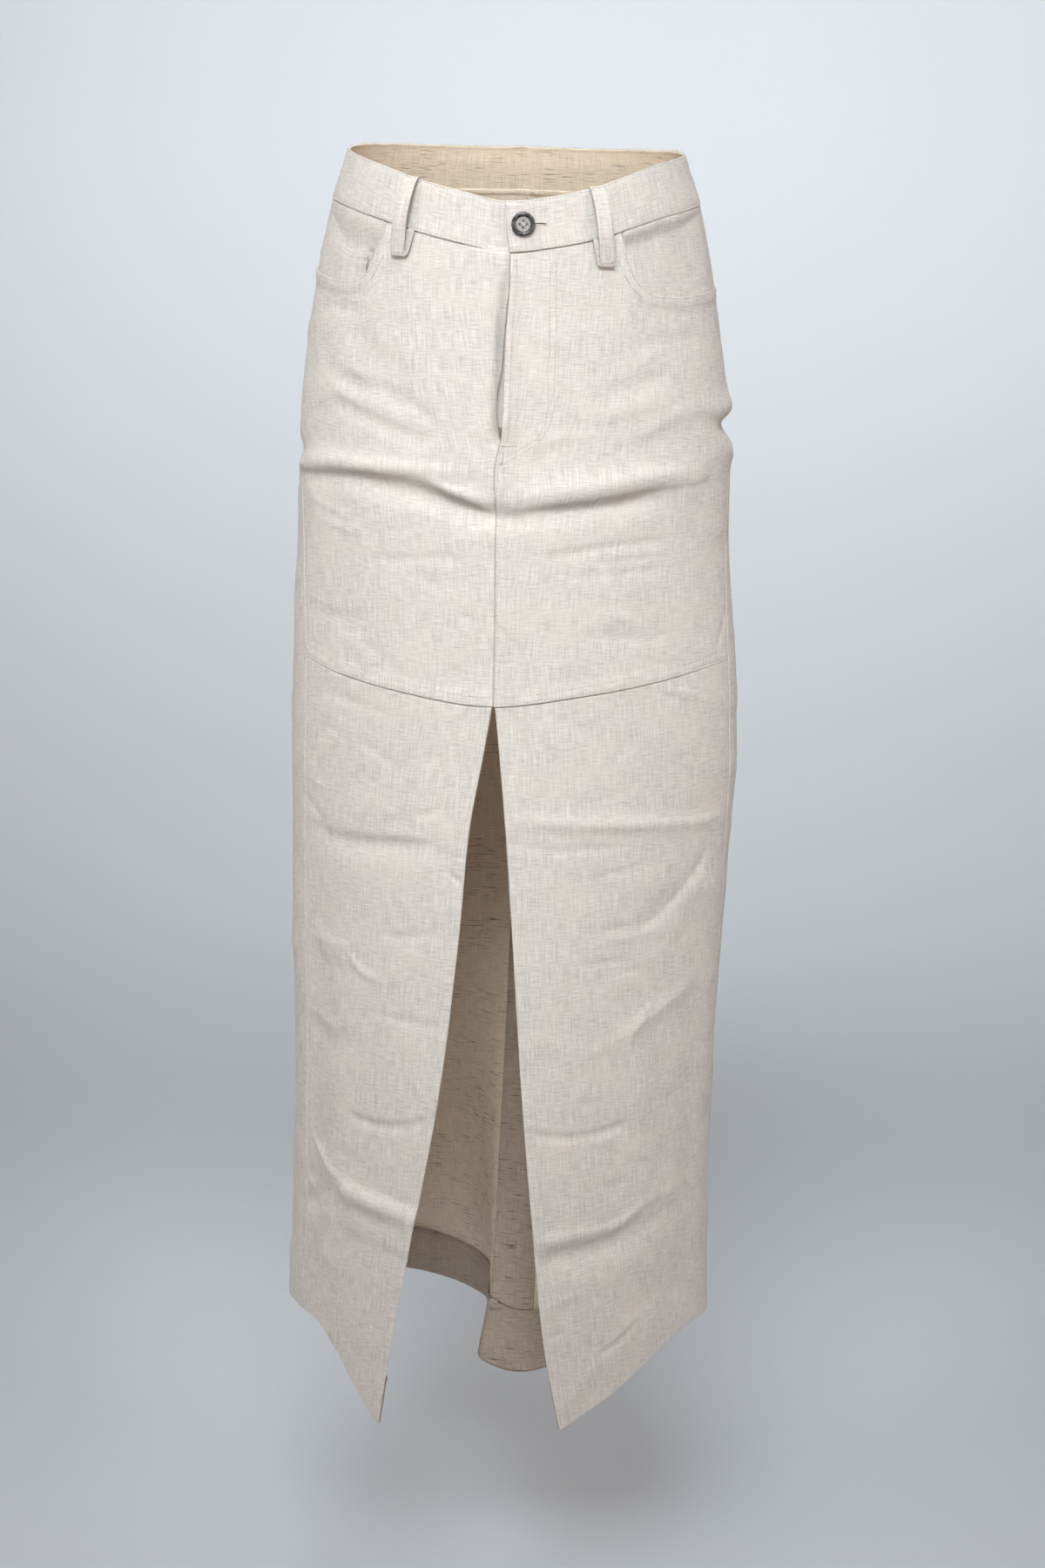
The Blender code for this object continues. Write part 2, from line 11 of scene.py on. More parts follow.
import logging
import math
from collections.abc import Callable, Sequence
from dataclasses import dataclass, field, replace
from enum import Enum
from typing import ClassVar

import bpy
import numpy as np
from mathutils import Matrix, Vector

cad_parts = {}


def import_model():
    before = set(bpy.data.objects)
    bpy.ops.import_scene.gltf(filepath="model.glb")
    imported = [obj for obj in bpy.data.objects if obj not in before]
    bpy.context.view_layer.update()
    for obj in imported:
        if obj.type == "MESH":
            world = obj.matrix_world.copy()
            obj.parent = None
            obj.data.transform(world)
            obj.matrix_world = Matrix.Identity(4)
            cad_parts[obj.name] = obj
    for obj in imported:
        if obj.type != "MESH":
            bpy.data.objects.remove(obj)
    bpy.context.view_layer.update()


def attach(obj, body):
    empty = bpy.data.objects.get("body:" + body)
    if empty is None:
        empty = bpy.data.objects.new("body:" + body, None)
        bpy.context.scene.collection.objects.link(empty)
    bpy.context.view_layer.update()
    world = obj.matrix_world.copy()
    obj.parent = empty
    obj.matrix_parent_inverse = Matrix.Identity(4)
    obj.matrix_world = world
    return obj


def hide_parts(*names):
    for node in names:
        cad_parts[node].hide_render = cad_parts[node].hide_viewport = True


log = logging.getLogger("maxi_skirt")

Array = np.ndarray
Curve = Callable[[Array], Array]
Pairs = tuple[tuple[float, float], ...]
Colour = tuple[float, float, float]

BODY = "root"

WALL = 0.0009  # one layer of the linen, as it shows at an edge
BAND_WALL = 0.0021  # the waistband's layers and stiffening
BAND_HEIGHT = 0.042
HEM_DEPTH = 0.050
SEAM_GAP = 0.0003
WEAVE_STEP = 0.00072  # from one thread to the next
METRES_A_DEGREE = 0.0031  # about, round the body
CLOTH_UV = "cloth"  # the UV map, in metres along weft and warp
WEAVE_SHIFT = 0.0137  # metres that the weave moves on for each degree, so that panels differ
SIDES = {"right": -1, "left": 1}

# how the cloth gives at its edges and its sewing, in metres
ROUNDING = 0.0008  # the radius of a turned edge
STEP = (-0.0005, 0.0018)  # beside a turning's inner edge, where the step down starts and ends
STANDS = 0.0005  # how much an edge that laps over its neighbour stands off
DIPS = 0.0004  # how deep a plain seam dips
GROOVE = (0.00050, 0.0011)  # the depth and breadth of the groove along a row of stitches
PUCKER = (0.00020, 0.013)  # the height of the puckers beside it and how far in they reach

# where grid lines lie beside an edge: in from it and, where it tucks, past it
GRID_IN = (0.0, 0.0003, 0.0008, 0.0015, 0.0023, 0.0032, 0.0045, 0.006, 0.0078, 0.0098, 0.012)
GRID_UNDER = (-0.0042, -0.0024, -0.0012, -0.0005)

STITCH_SHARES = np.array([0.0, 0.30, 0.70, 1.0])  # a stitch's four points along its own length
STITCH_PART = 0.76  # its length as a share of the pitch
STITCH_SWAY = 0.00010  # how unevenly stitches start
SWAY_BEAT = 1900.0  # radians a metre
# needle holes are drawn as short dark threads in painted shade
HOLE_SHARES = np.array([0.77, 0.83, 0.93, 0.99])  # the needle hole after it, in shares of the pitch
BAR_SHARES = np.array([-0.5, -0.2, 0.2, 0.5])  # a bar tack's stitch, from its middle


# ---- Curves ------------------------------------------------------------------------------------


def smooth(at: Array, x: Array, y: Array) -> Array:
    """A cubic through the points (x, y) whose slopes are the means of its chords' slopes.

    Args:
        at: Where the curve is read. It is held level past the first and last point.
        x: The points' places, ascending.
        y: The points' values.

    Returns:
        The curve's values.
    """
    slope = np.gradient(y, x)
    at = np.clip(at, x[0], x[-1])
    i = np.clip(np.searchsorted(x, at) - 1, 0, len(x) - 2)
    width = x[i + 1] - x[i]
    t = (at - x[i]) / width
    return (
        (2 * t**3 - 3 * t**2 + 1) * y[i]
        + (t**3 - 2 * t**2 + t) * width * slope[i]
        + (3 * t**2 - 2 * t**3) * y[i + 1]
        + (t**3 - t**2) * width * slope[i + 1]
    )


def ease(value: Array, start: float, stop: float) -> Array:
    """0 before start and 1 after stop, with a level start and end: 3t^2 - 2t^3 between them."""
    t = np.clip((value - start) / (stop - start), 0.0, 1.0)
    return t * t * (3 - 2 * t)


def between(value: Array, rise: tuple[float, float], fall: tuple[float, float]) -> Array:
    """1 from the end of one stretch to the start of another, easing to 0 over each."""
    return ease(value, *rise) * (1 - ease(value, *fall))


def bump(distance: Array, breadth: float) -> Array:
    """1 at no distance, and less to both sides: e^(-(distance / breadth)^2)."""
    return np.exp(-((distance / breadth) ** 2))


def waver(along: Array, step: float, sway: float, slow: float) -> Array:
    """A sine wave whose beat is swayed by a slower one."""
    return np.sin(along / step + sway * np.sin(along / slow))


def wrapped(angle: Array) -> Array:
    """Degrees between -180 and 180."""
    return (angle + 180.0) % 360.0 - 180.0


@dataclass(frozen=True)
class Line:
    """A smooth line through a few pairs: heights at angles, or angles at heights."""

    pairs: Pairs
    lift: float = 0.0

    def __call__(self, at: Array) -> Array:
        """The line's value at each place."""
        table = np.array(sorted(self.pairs), float)
        return smooth(np.asarray(at, float), table[:, 0], table[:, 1]) + self.lift

    def moved(self, by: float) -> Line:
        """The same line, moved."""
        return replace(self, lift=self.lift + by)


def value_at(line: Curve, place: float) -> float:
    """A line's value at one place."""
    return float(line(np.array(place)))


def constant(value: float) -> Curve:
    """A line that stays at one value."""
    return lambda at: np.full(np.shape(at), float(value))


def below(first: Curve, second: Curve, side: int, start: float) -> Curve:
    """The first line, and past an angle on one side whichever of the two is lower."""

    def line(at: Array) -> Array:
        """The lower line's height."""
        both = first(at), second(at)
        return np.where(side * at < start, both[0], np.minimum(*both))

    return line


# ---- The worn form -----------------------------------------------------------------------------


@dataclass(frozen=True)
class WornForm:
    """The body surface that all cloth lies on: rings, large folds and the back's hanging fold."""

    ring_columns: tuple[str, ...] = ("height", "right", "left", "front", "back", "flat")
    rings: tuple[tuple[float, ...], ...] = (
        (0.060, 0.1400, 0.1410, 0.105, 0.098, 0.00),
        (0.041, 0.1450, 0.1455, 0.107, 0.100, 0.00),
        (0.000, 0.1580, 0.1600, 0.112, 0.108, 0.00),
        (-0.045, 0.1680, 0.1710, 0.116, 0.116, 0.02),
        (-0.090, 0.1750, 0.1790, 0.118, 0.124, 0.04),
        (-0.180, 0.1850, 0.1930, 0.121, 0.134, 0.07),
        (-0.300, 0.1880, 0.1980, 0.122, 0.136, 0.10),
        (-0.450, 0.1920, 0.2120, 0.125, 0.135, 0.14),
        (-0.600, 0.1910, 0.2080, 0.132, 0.138, 0.18),
        (-0.800, 0.1870, 0.2020, 0.145, 0.150, 0.22),
        (-1.000, 0.1910, 0.2055, 0.158, 0.166, 0.26),
        (-1.110, 0.1940, 0.2075, 0.163, 0.172, 0.28),
    )
    # angle, height, rise for each radian, half angle, half height, out
    folds: tuple[tuple[float, ...], ...] = (
        (-44, -0.2260, 0.000, 36, 0.0100, 0.0046),
        (-50, -0.2390, 0.002, 30, 0.0085, -0.0042),
        (-18, -0.2500, -0.040, 16, 0.0090, -0.0036),
        (-11, -0.2450, -0.045, 8, 0.0060, 0.0026),
        (-5, -0.2620, -0.040, 10, 0.0080, -0.0036),
        (24, -0.2545, 0.022, 34, 0.0105, -0.0046),
        (32, -0.2330, 0.022, 34, 0.0130, 0.0042),
        (88, -0.1905, 0.000, 17, 0.0085, -0.0085),
        (88, -0.1710, 0.000, 17, 0.0110, 0.0030),
        (88, -0.2130, 0.000, 18, 0.0120, 0.0026),
        (-84, -0.2220, 0.000, 16, 0.0100, -0.0046),
        (-38, -0.1350, -0.120, 14, 0.0160, -0.0018),
        (36, -0.5330, -0.012, 36, 0.0080, 0.0022),
        (50, -0.6000, 0.130, 12, 0.0120, -0.0024),
        (-36, -0.5580, 0.006, 28, 0.0120, -0.0022),
        (-36, -0.8780, -0.040, 20, 0.0120, 0.0030),
        (-30, -0.8990, -0.020, 16, 0.0110, -0.0026),
        (30, -0.9150, 0.030, 24, 0.0120, -0.0036),
        (150, -0.2650, 0.030, 26, 0.0130, -0.0060),
        (205, -0.2800, -0.030, 24, 0.0130, -0.0055),
        (178, -0.2450, 0.000, 34, 0.0170, 0.0040),
        (128, -0.5600, 0.060, 20, 0.0150, -0.0040),
        (232, -0.6400, -0.050, 20, 0.0150, -0.0040),
    )
    # degrees beside centre back towards the wearer's left, and how far the hem moves there
    drape: tuple[tuple[float, float, float], ...] = (
        (-90, 0.000, 0.000), (-74, -0.002, 0.014), (-58, 0.012, 0.036), (-46, 0.030, 0.048),
        (-36, 0.046, 0.030), (-28, 0.058, 0.000), (-21, 0.062, -0.040), (-14, 0.050, -0.092),
        (-7, 0.022, -0.150), (-2, 0.001, -0.190), (0, -0.005, -0.200), (2, -0.006, -0.202),
        (10, -0.002, -0.200), (20, 0.000, -0.180), (34, 0.003, -0.124), (50, 0.002, -0.056),
        (68, 0.000, -0.010), (90, 0.000, 0.000),
    )
    drape_top: float = -0.58
    drape_hem: float = -1.08
    drape_past: float = 1.08  # the share hung goes on to this below the hem
    drape_powers: tuple[float, float] = (2.2, 1.5)  # how late it moves sideways, and backwards
    flare: float = -0.008  # how far the hanging fold's tip turns to the wearer's right at the hem
    flare_drops: tuple[float, float] = (1.022, 1.076)  # how far down the turn starts and is full
    centre_back: float = 178.0

    def ring(self, name: str, height: Array) -> Array:
        """One of the rings' sizes at each height."""
        table = np.array(self.rings)[::-1]
        return smooth(height, table[:, 0], table[:, self.ring_columns.index(name)])

    def fold_out(self, angle: Array, height: Array) -> Array:
        """The sum of a bump e^(-along^2 - across^2) for each large fold."""
        total = np.zeros(angle.shape)
        for at, level, rise, half_angle, half_height, out in self.folds:
            turn = wrapped(angle - at)
            along = 1.18 * turn / half_angle
            across = (height - level - rise * np.radians(turn)) / half_height
            total += out * np.exp(-(along**2) - across**2)
        return total

    def drape_moves(self, angle: Array, height: Array) -> list[Array]:
        """The sideways and backwards moves: the hem's move times a power of the share hung."""
        beside = -wrapped(angle - self.centre_back)
        share = (self.drape_top - height) / (self.drape_top - self.drape_hem)
        share = np.clip(share, 0.0, self.drape_past)
        turns, sideways, backwards = np.array(self.drape).T
        inside = np.abs(beside) < turns[-1]
        turned = self.flare * bump(beside + 1, 7) * ease(-height, *self.flare_drops)
        hung = [
            inside * share**power * smooth(beside, turns, hem)
            for hem, power in zip((sideways, backwards), self.drape_powers)
        ]
        return [hung[0] + turned, hung[1]]

    def skin(self, angle: Array, height: Array) -> Array:
        """The points of the form: a lens-like ring at each height, moved by folds and drape."""
        turn = np.radians(angle)
        side, front = np.sin(turn), np.cos(turn)
        right, left = self.ring("right", height), self.ring("left", height)
        half_width = right * (1 - side) / 2 + left * (1 + side) / 2
        ahead, behind = self.ring("front", height), self.ring("back", height)
        depth = ahead * (1 + front) / 2 + behind * (1 - front) / 2
        out = self.fold_out(angle, height)
        sideways, backwards = self.drape_moves(angle, height)
        x = (half_width + out) * side + sideways
        y = -(depth + out) * front * (1 - self.ring("flat", height) * side**2) + backwards
        return np.stack([x, y, height], axis=-1)

    def basis(self, angle: Array, height: Array) -> tuple[Array, Array, Array]:
        """The form at these places, from small steps either way.

        Args:
            angle: Degrees.
            height: Metres.

        Returns:
            Its points, its outward normals, and how many metres one degree is.
        """
        angle, height = np.broadcast_arrays(np.asarray(angle, float), np.asarray(height, float))
        da, dh = 0.05, 0.0005
        across = self.skin(angle + da, height) - self.skin(angle - da, height)
        up = self.skin(angle, height + dh) - self.skin(angle, height - dh)
        normal = np.cross(across, up)
        normal /= np.linalg.norm(normal, axis=-1, keepdims=True)
        return self.skin(angle, height), normal, np.linalg.norm(across, axis=-1) / (2 * da)


# ---- Creases -----------------------------------------------------------------------------------


class Run(Enum):
    """Which way a crease's line is tabled."""

    ROUND = "heights at angles"
    DOWN = "angles at heights"


@dataclass(frozen=True)
class Crease:
    """A ridge, or a trough where out is negative, along a line on the form.

    before is its breadth above the line, or on the wearer's right of it, and after is the other
    side's. fade is the length over which each end dies away, in the line's own units.
    """

    pairs: Pairs
    out: float
    before: float
    after: float
    fade: float = 9.0
    run: Run = Run.ROUND
    crisp: float = 0.5

    def at(self, angle: Array, height: Array, per_degree: Array) -> Array:
        """A mix of a rounded bump e^(-d^2) and a straight-sided one 1 - |d|, by crisp.

        Args:
            angle: Degrees.
            height: Metres.
            per_degree: Metres for each degree there.

        Returns:
            How far the crease moves the cloth out.
        """
        line, places = Line(self.pairs), [pair[0] for pair in self.pairs]
        first, last = float(min(places)), float(max(places))
        middle = (first + last) / 2
        if self.run is Run.ROUND:
            place = middle + wrapped(angle - middle)
            scale, other = 1.0 / per_degree, height
        else:
            place, scale = height, per_degree
            near = value_at(line, first)
            other = near + wrapped(angle - near)
        level = line(place)
        step = (last - first) * 0.01
        slope = (line(place + step) - level) / step * scale
        gap = (other - level) * (1.0 if self.run is Run.ROUND else -per_degree)
        gap = gap / np.sqrt(1 + slope**2)
        distance = np.where(gap > 0, gap / self.before, -gap / self.after)
        shape = (1 - self.crisp) * np.exp(-(distance**2)) + self.crisp * self.tent(distance)
        ends = between(place, (first, first + self.fade), (last - self.fade, last))
        return self.out * shape * ends

    @staticmethod
    def tent(distance: Array) -> Array:
        """A straight-sided ridge with a slightly rounded top and foot."""
        rise = np.clip(1.12 - np.sqrt(distance**2 + 0.03), 0.0, 1.0)
        return rise * ease(rise, -0.05, 0.22)


@dataclass(frozen=True)
class Rumples:
    """Many small creases at seeded random places in a stretch of cloth."""

    seed: int
    count: int
    angles: tuple[float, float]
    heights: tuple[float, float]
    lengths: tuple[float, float] = (0.010, 0.034)
    breadths: tuple[float, float] = (0.0022, 0.0060)
    out: float = 0.0006
    tilt: float = 22.0
    upright: float = 0.15  # the share of them that run down and not round

    def at(self, angle: Array, height: Array, per_degree: Array) -> Array:
        """The sum of a small ridge e^(-along^2 - |across|^1.6) for each."""
        draw = np.random.default_rng(self.seed)
        n = self.count
        place = draw.uniform(*self.angles, n)
        level = draw.uniform(*self.heights, n)
        turn = np.radians(draw.normal(0.0, self.tilt, n))
        turn = turn + np.where(draw.random(n) < self.upright, math.pi / 2, 0.0)
        length, breadth = draw.uniform(*self.lengths, n), draw.uniform(*self.breadths, n)
        out = self.out * draw.normal(0.0, 1.0, n)
        total = np.zeros(angle.shape)
        sideways = wrapped(angle - self.angles[0]) * per_degree
        for i in range(n):
            du = sideways - (place[i] - self.angles[0]) * per_degree
            dv = height - level[i]
            near = (np.abs(du) < 3 * length[i]) & (np.abs(dv) < 3 * length[i])
            du, dv = du[near], dv[near]
            along = (du * math.cos(turn[i]) + dv * math.sin(turn[i])) / length[i]
            across = (dv * math.cos(turn[i]) - du * math.sin(turn[i])) / breadth[i]
            total[near] += out[i] * np.exp(-(along**2) - np.abs(across) ** 1.6)
        return total


@dataclass(frozen=True)
class Creasing:
    """All the creases of the skirt's cloth."""

    creases: tuple[Crease, ...]
    rumples: tuple[Rumples, ...]

    def at(self, angle: Array, height: Array, per_degree: Array) -> Array:
        """The sum of all creases at each place."""
        total = np.zeros(angle.shape)
        for crease in (*self.creases, *self.rumples):
            total = total + crease.at(angle, height, per_degree)
        return total


FRONT_CREASES = (
    # hips, wearer's right: a lit ridge, a fine dark line under it and a soft dark slope to the fly
    Crease(((-92, -0.2350), (-62, -0.2318), (-44, -0.2300), (-26, -0.2316), (-11, -0.2380), (-7, -0.2425)),
           0.0013, 0.012, 0.0044, 10, crisp=0.6),
    Crease(((-84, -0.2360), (-66, -0.2345), (-50, -0.2350)), 0.0016, 0.006, 0.010, 16, crisp=0.2),
    Crease(((-84, -0.2400), (-60, -0.2358), (-41, -0.2336), (-25, -0.2352)),
           -0.0005, 0.0024, 0.006, 8, crisp=0.8),
    Crease(((-46, -0.2380), (-34, -0.2425), (-21, -0.2480), (-11, -0.2545), (-1.6, -0.2640)),
           -0.0034, 0.006, 0.014, 10, crisp=0.3),
    Crease(((-21, -0.2365), (-15, -0.2418), (-10.5, -0.2475), (-1.6, -0.2590)),
           0.0024, 0.0050, 0.0030, 4, crisp=0.8),
    Crease(((-50, -0.2190), (-30, -0.2200), (-17, -0.2212), (-7, -0.2222)),
           -0.0010, 0.006, 0.006, 9, crisp=0.3),
    # hips, wearer's left: a broad fold with a sharp edge, dark under it
    Crease(((0, -0.2585), (2.4, -0.2572), (15, -0.2498), (29, -0.2431), (40, -0.2382), (49, -0.2359),
            (65, -0.2315)),
           0.0016, 0.014, 0.0030, 5, crisp=0.9),
    Crease(((-4, -0.2610), (2.4, -0.2572), (15, -0.2498), (29, -0.2431), (38, -0.2390), (44, -0.2368)),
           0.0023, 0.012, 0.0090, 20, crisp=0.7),
    Crease(((-2, -0.2655), (3, -0.2640), (19, -0.2580), (37, -0.2498), (45, -0.2430)),
           -0.0014, 0.0040, 0.012, 14, crisp=0.5),
    Crease(((38, -0.2470), (52, -0.2420), (66, -0.2390)), 0.0018, 0.008, 0.012, 12, crisp=0.2),
    Crease(((5, -0.2478), (18, -0.2396), (32, -0.2314), (53, -0.2232)),
           0.0012, 0.008, 0.008, 8, crisp=0.2),
    Crease(((30, -0.2090), (38, -0.2010), (50, -0.1885), (72, -0.1862), (92, -0.1880)),
           -0.0009, 0.006, 0.009, 9, crisp=0.3),
    Crease(((34, -0.1960), (52, -0.1760), (74, -0.1740), (94, -0.1750)),
           0.0010, 0.010, 0.006, 9, crisp=0.3),
    Crease(((58, -0.2240), (72, -0.2190), (92, -0.2180)), -0.0007, 0.004, 0.006, 8),
    # under the hips
    Crease(((7.8, -0.2985), (28, -0.2879), (49, -0.2828)), -0.0013, 0.003, 0.008, 8, crisp=0.7),
    Crease(((21, -0.3026), (48, -0.2964)), -0.0008, 0.003, 0.006, 7),
    Crease(((14, -0.3155), (30, -0.3110), (48, -0.3065)), -0.0008, 0.003, 0.006, 8),
    Crease(((-36, -0.3057), (-24, -0.3030), (-13, -0.3003), (-8, -0.3046)), -0.0010, 0.003, 0.007, 6),
    Crease(((-60, -0.2780), (-46, -0.2820), (-34, -0.2860)), 0.0008, 0.006, 0.005, 9),
    # soft diagonals between the pockets and the hip fold
    Crease(((-62, -0.1430), (-50, -0.1545), (-36, -0.1728)), -0.0013, 0.007, 0.010, 9, crisp=0.2),
    Crease(((-52, -0.1490), (-35, -0.1623), (-23, -0.1766), (-12.8, -0.1975)),
           -0.0015, 0.007, 0.011, 9, crisp=0.2),
    Crease(((-56, -0.1699), (-37, -0.1861), (-24, -0.1985), (-14, -0.2030)),
           -0.0017, 0.006, 0.010, 9, crisp=0.3),
    Crease(((-62, -0.1560), (-46, -0.1700), (-30, -0.1850)), 0.0013, 0.010, 0.008, 12, crisp=0.2),
    Crease(((22, -0.1625), (34, -0.1530), (50, -0.1415)), -0.0013, 0.006, 0.010, 9, crisp=0.2),
    Crease(((18, -0.1790), (34, -0.1740), (52, -0.1610)), 0.0011, 0.010, 0.008, 12, crisp=0.2),
    Crease(((-70, -0.0930), (-52, -0.0950), (-38, -0.1010)), -0.0010, 0.006, 0.008, 10, crisp=0.2),
    Crease(((30, -0.1240), (46, -0.1160), (70, -0.1130)), -0.0011, 0.007, 0.010, 12, crisp=0.2),
    Crease(((4, -0.1100), (14, -0.1180), (24, -0.1340)), 0.0008, 0.008, 0.006, 7, crisp=0.2),
    # over the cross seam
    Crease(((-68, -0.3560), (-48, -0.3600), (-30, -0.3560)), -0.0010, 0.009, 0.009, 12, crisp=0.2),
    Crease(((-51.4, -0.3712), (-42, -0.3706), (-32, -0.3691)), -0.0007, 0.002, 0.003, 5),
    Crease(((-10.6, -0.3486), (-8, -0.3512), (-5.2, -0.3545)), -0.0012, 0.0022, 0.003, 1.4, crisp=0.8),
    Crease(((20, -0.3620), (36, -0.3680), (50, -0.3660)), -0.0010, 0.006, 0.008, 10, crisp=0.2),
    # under the cross seam
    Crease(((18, -0.4380), (24, -0.4540), (29.5, -0.4790)), -0.0010, 0.004, 0.004, 3, crisp=0.3),
    Crease(((28.6, -0.4800), (31, -0.4690), (34, -0.4550)), -0.0010, 0.004, 0.004, 2, crisp=0.3),
    Crease(((6, -0.4340), (14, -0.4540), (20, -0.4860)), 0.0010, 0.007, 0.006, 4, crisp=0.2),
    Crease(((-52, -0.4590), (-49, -0.4602), (-45.6, -0.4612)), -0.0009, 0.0022, 0.003, 2, crisp=0.8),
    Crease(((-18, -0.4810), (-15, -0.4745), (-12.6, -0.4680)), -0.0014, 0.0026, 0.0034, 2, crisp=0.6),
    # lower front, wearer's right
    Crease(((-21, -0.5270), (-17, -0.5240), (-14, -0.5180), (-11.6, -0.5070)),
           -0.0019, 0.0026, 0.0042, 2.4, crisp=0.8),
    Crease(((-30, -0.5300), (-25, -0.5230), (-20, -0.5060)), 0.0014, 0.005, 0.004, 3),
    Crease(((-60, -0.5490), (-45.5, -0.5562), (-32, -0.5542), (-13, -0.5488)),
           -0.0011, 0.0034, 0.010, 9, crisp=0.6),
    Crease(((-46, -0.5500), (-30, -0.5472), (-15, -0.5440)), 0.0008, 0.006, 0.003, 6, crisp=0.5),
    Crease(((-11.4, -0.5712), (-9.4, -0.5785), (-6.8, -0.5830)),
           -0.0022, 0.0022, 0.0030, 1.6, crisp=0.9),
    Crease(((-30, -0.6378), (-20, -0.6336), (-13, -0.6258)), -0.0014, 0.003, 0.005, 4, crisp=0.5),
    Crease(((-26, -0.6432), (-20, -0.6446), (-15.6, -0.6442)), -0.0009, 0.002, 0.003, 3, crisp=0.8),
    Crease(((-43, -0.6590), (-36.6, -0.6740), (-30, -0.6790)), 0.0016, 0.005, 0.004, 4, crisp=0.5),
    Crease(((-62, -0.6480), (-50, -0.6620), (-38, -0.6620)), 0.0014, 0.012, 0.012, 9, crisp=0.2),
    Crease(((-34, -0.7080), (-26, -0.7110), (-16, -0.7090)), -0.0009, 0.004, 0.005, 5),
    Crease(((-66, -0.7360), (-50, -0.7460), (-30, -0.7320)), -0.0014, 0.010, 0.014, 12, crisp=0.2),
    Crease(((-42, -0.8082), (-31, -0.8106), (-23, -0.8070), (-14.6, -0.7944)),
           -0.0021, 0.003, 0.007, 4, crisp=0.6),
    Crease(((-50, -0.8300), (-51.6, -0.8400), (-54, -0.8520)), -0.0021, 0.004, 0.004, 1.6, crisp=0.7),
    Crease(((-63.5, -0.8400), (-58, -0.8490), (-54, -0.8560), (-47.4, -0.8680), (-40, -0.8690)),
           0.0016, 0.004, 0.0032, 6, crisp=0.9),
    # the pressed stripe beside the slit: a ramp that faces up between two crisp lines
    Crease(((-46, -0.8790), (-40.2, -0.8812), (-28.2, -0.8880), (-15.8, -0.8915)),
           0.0052, 0.0105, 0.036, 5, crisp=1.0),
    Crease(((-42, -0.8690), (-40, -0.8697), (-31.3, -0.8731), (-23.8, -0.8762), (-15.4, -0.8794)),
           -0.0008, 0.0060, 0.0020, 3, crisp=0.9),
    Crease(((-60, -0.9420), (-44, -0.9560), (-26, -0.9500)), 0.0010, 0.012, 0.010, 10, crisp=0.2),
    Crease(((-37.4, -0.9936), (-34, -0.9920), (-31, -0.9880)), -0.0012, 0.0024, 0.003, 2, crisp=0.8),
    # lower front, wearer's left
    Crease(((3, -0.5200), (9, -0.5266), (22, -0.5316), (36, -0.5318), (49, -0.5356), (64, -0.5352)),
           0.0005, 0.006, 0.0040, 9, crisp=0.7),
    Crease(((27, -0.5398), (43, -0.5382), (53, -0.5388)), -0.0004, 0.0024, 0.006, 6, crisp=0.7),
    Crease(((6, -0.5440), (9.3, -0.5469), (15, -0.5526), (21, -0.5510), (33, -0.5512)),
           -0.0010, 0.0028, 0.006, 4, crisp=0.6),
    Crease(((67, -0.5580), (59, -0.5812), (51, -0.6039), (43, -0.6207), (38, -0.6232)),
           -0.0014, 0.0034, 0.0070, 6, crisp=0.6),
    Crease(((40, -0.6228), (35.7, -0.6232), (26, -0.6240)), -0.0009, 0.003, 0.007, 4, crisp=0.5),
    Crease(((33, -0.6652), (42.6, -0.6642)), -0.0009, 0.002, 0.003, 3, crisp=0.7),
    Crease(((-0.6920, 44.8), (-0.7148, 40.8), (-0.7220, 39.0), (-0.7400, 38.4)),
           0.0019, 0.0020, 0.0026, 0.010, Run.DOWN, 0.95),
    Crease(((28, -0.7392), (33, -0.7402)), -0.0010, 0.0018, 0.0024, 1.6, crisp=0.9),
    Crease(((20, -0.6560), (29, -0.6545), (38, -0.6530)), -0.0009, 0.003, 0.004, 5),
    Crease(((22, -0.7800), (28, -0.7820), (34, -0.7800)), -0.0010, 0.004, 0.006, 5, crisp=0.3),
    Crease(((9, -0.8020), (20, -0.8105), (30, -0.8094), (41, -0.8020)),
           -0.0018, 0.003, 0.007, 6, crisp=0.6),
    Crease(((38, -0.7760), (42, -0.7880), (46, -0.8020)), 0.0012, 0.005, 0.004, 3),
    Crease(((19.6, -0.8410), (21.6, -0.8470), (24.2, -0.8545)), 0.0018, 0.0024, 0.0024, 1.4, crisp=0.9),
    Crease(((11, -0.9062), (13.2, -0.9056), (24.6, -0.9022), (36.8, -0.8985), (44, -0.8865), (61, -0.8756)),
           0.0020, 0.0060, 0.0180, 9, crisp=1.0),
    Crease(((11, -0.9290), (21, -0.9206), (33, -0.9184), (40, -0.9068), (44, -0.8960), (58, -0.8795)),
           -0.0026, 0.0110, 0.0240, 10, crisp=1.0),
    Crease(((30.6, -1.0196), (37.3, -1.0102), (44.6, -0.9920)), -0.0018, 0.0024, 0.005, 3, crisp=0.7),
    Crease(((16.6, -0.9954), (22.6, -0.9924)), -0.0012, 0.002, 0.003, 1.6, crisp=0.8),
    # long soft hangs down the lower fronts
    Crease(((-0.62, -38), (-0.80, -44), (-1.02, -50)), 0.0022, 0.020, 0.016, 0.14, Run.DOWN, 0.1),
    Crease(((-0.50, -56), (-0.78, -58), (-1.05, -57)), -0.0018, 0.016, 0.016, 0.16, Run.DOWN, 0.1),
    Crease(((-0.66, 40), (-0.82, 44), (-1.02, 50)), 0.0020, 0.022, 0.018, 0.14, Run.DOWN, 0.1),
    Crease(((-0.56, 60), (-0.78, 64), (-1.05, 66)), -0.0016, 0.016, 0.016, 0.16, Run.DOWN, 0.1),
)

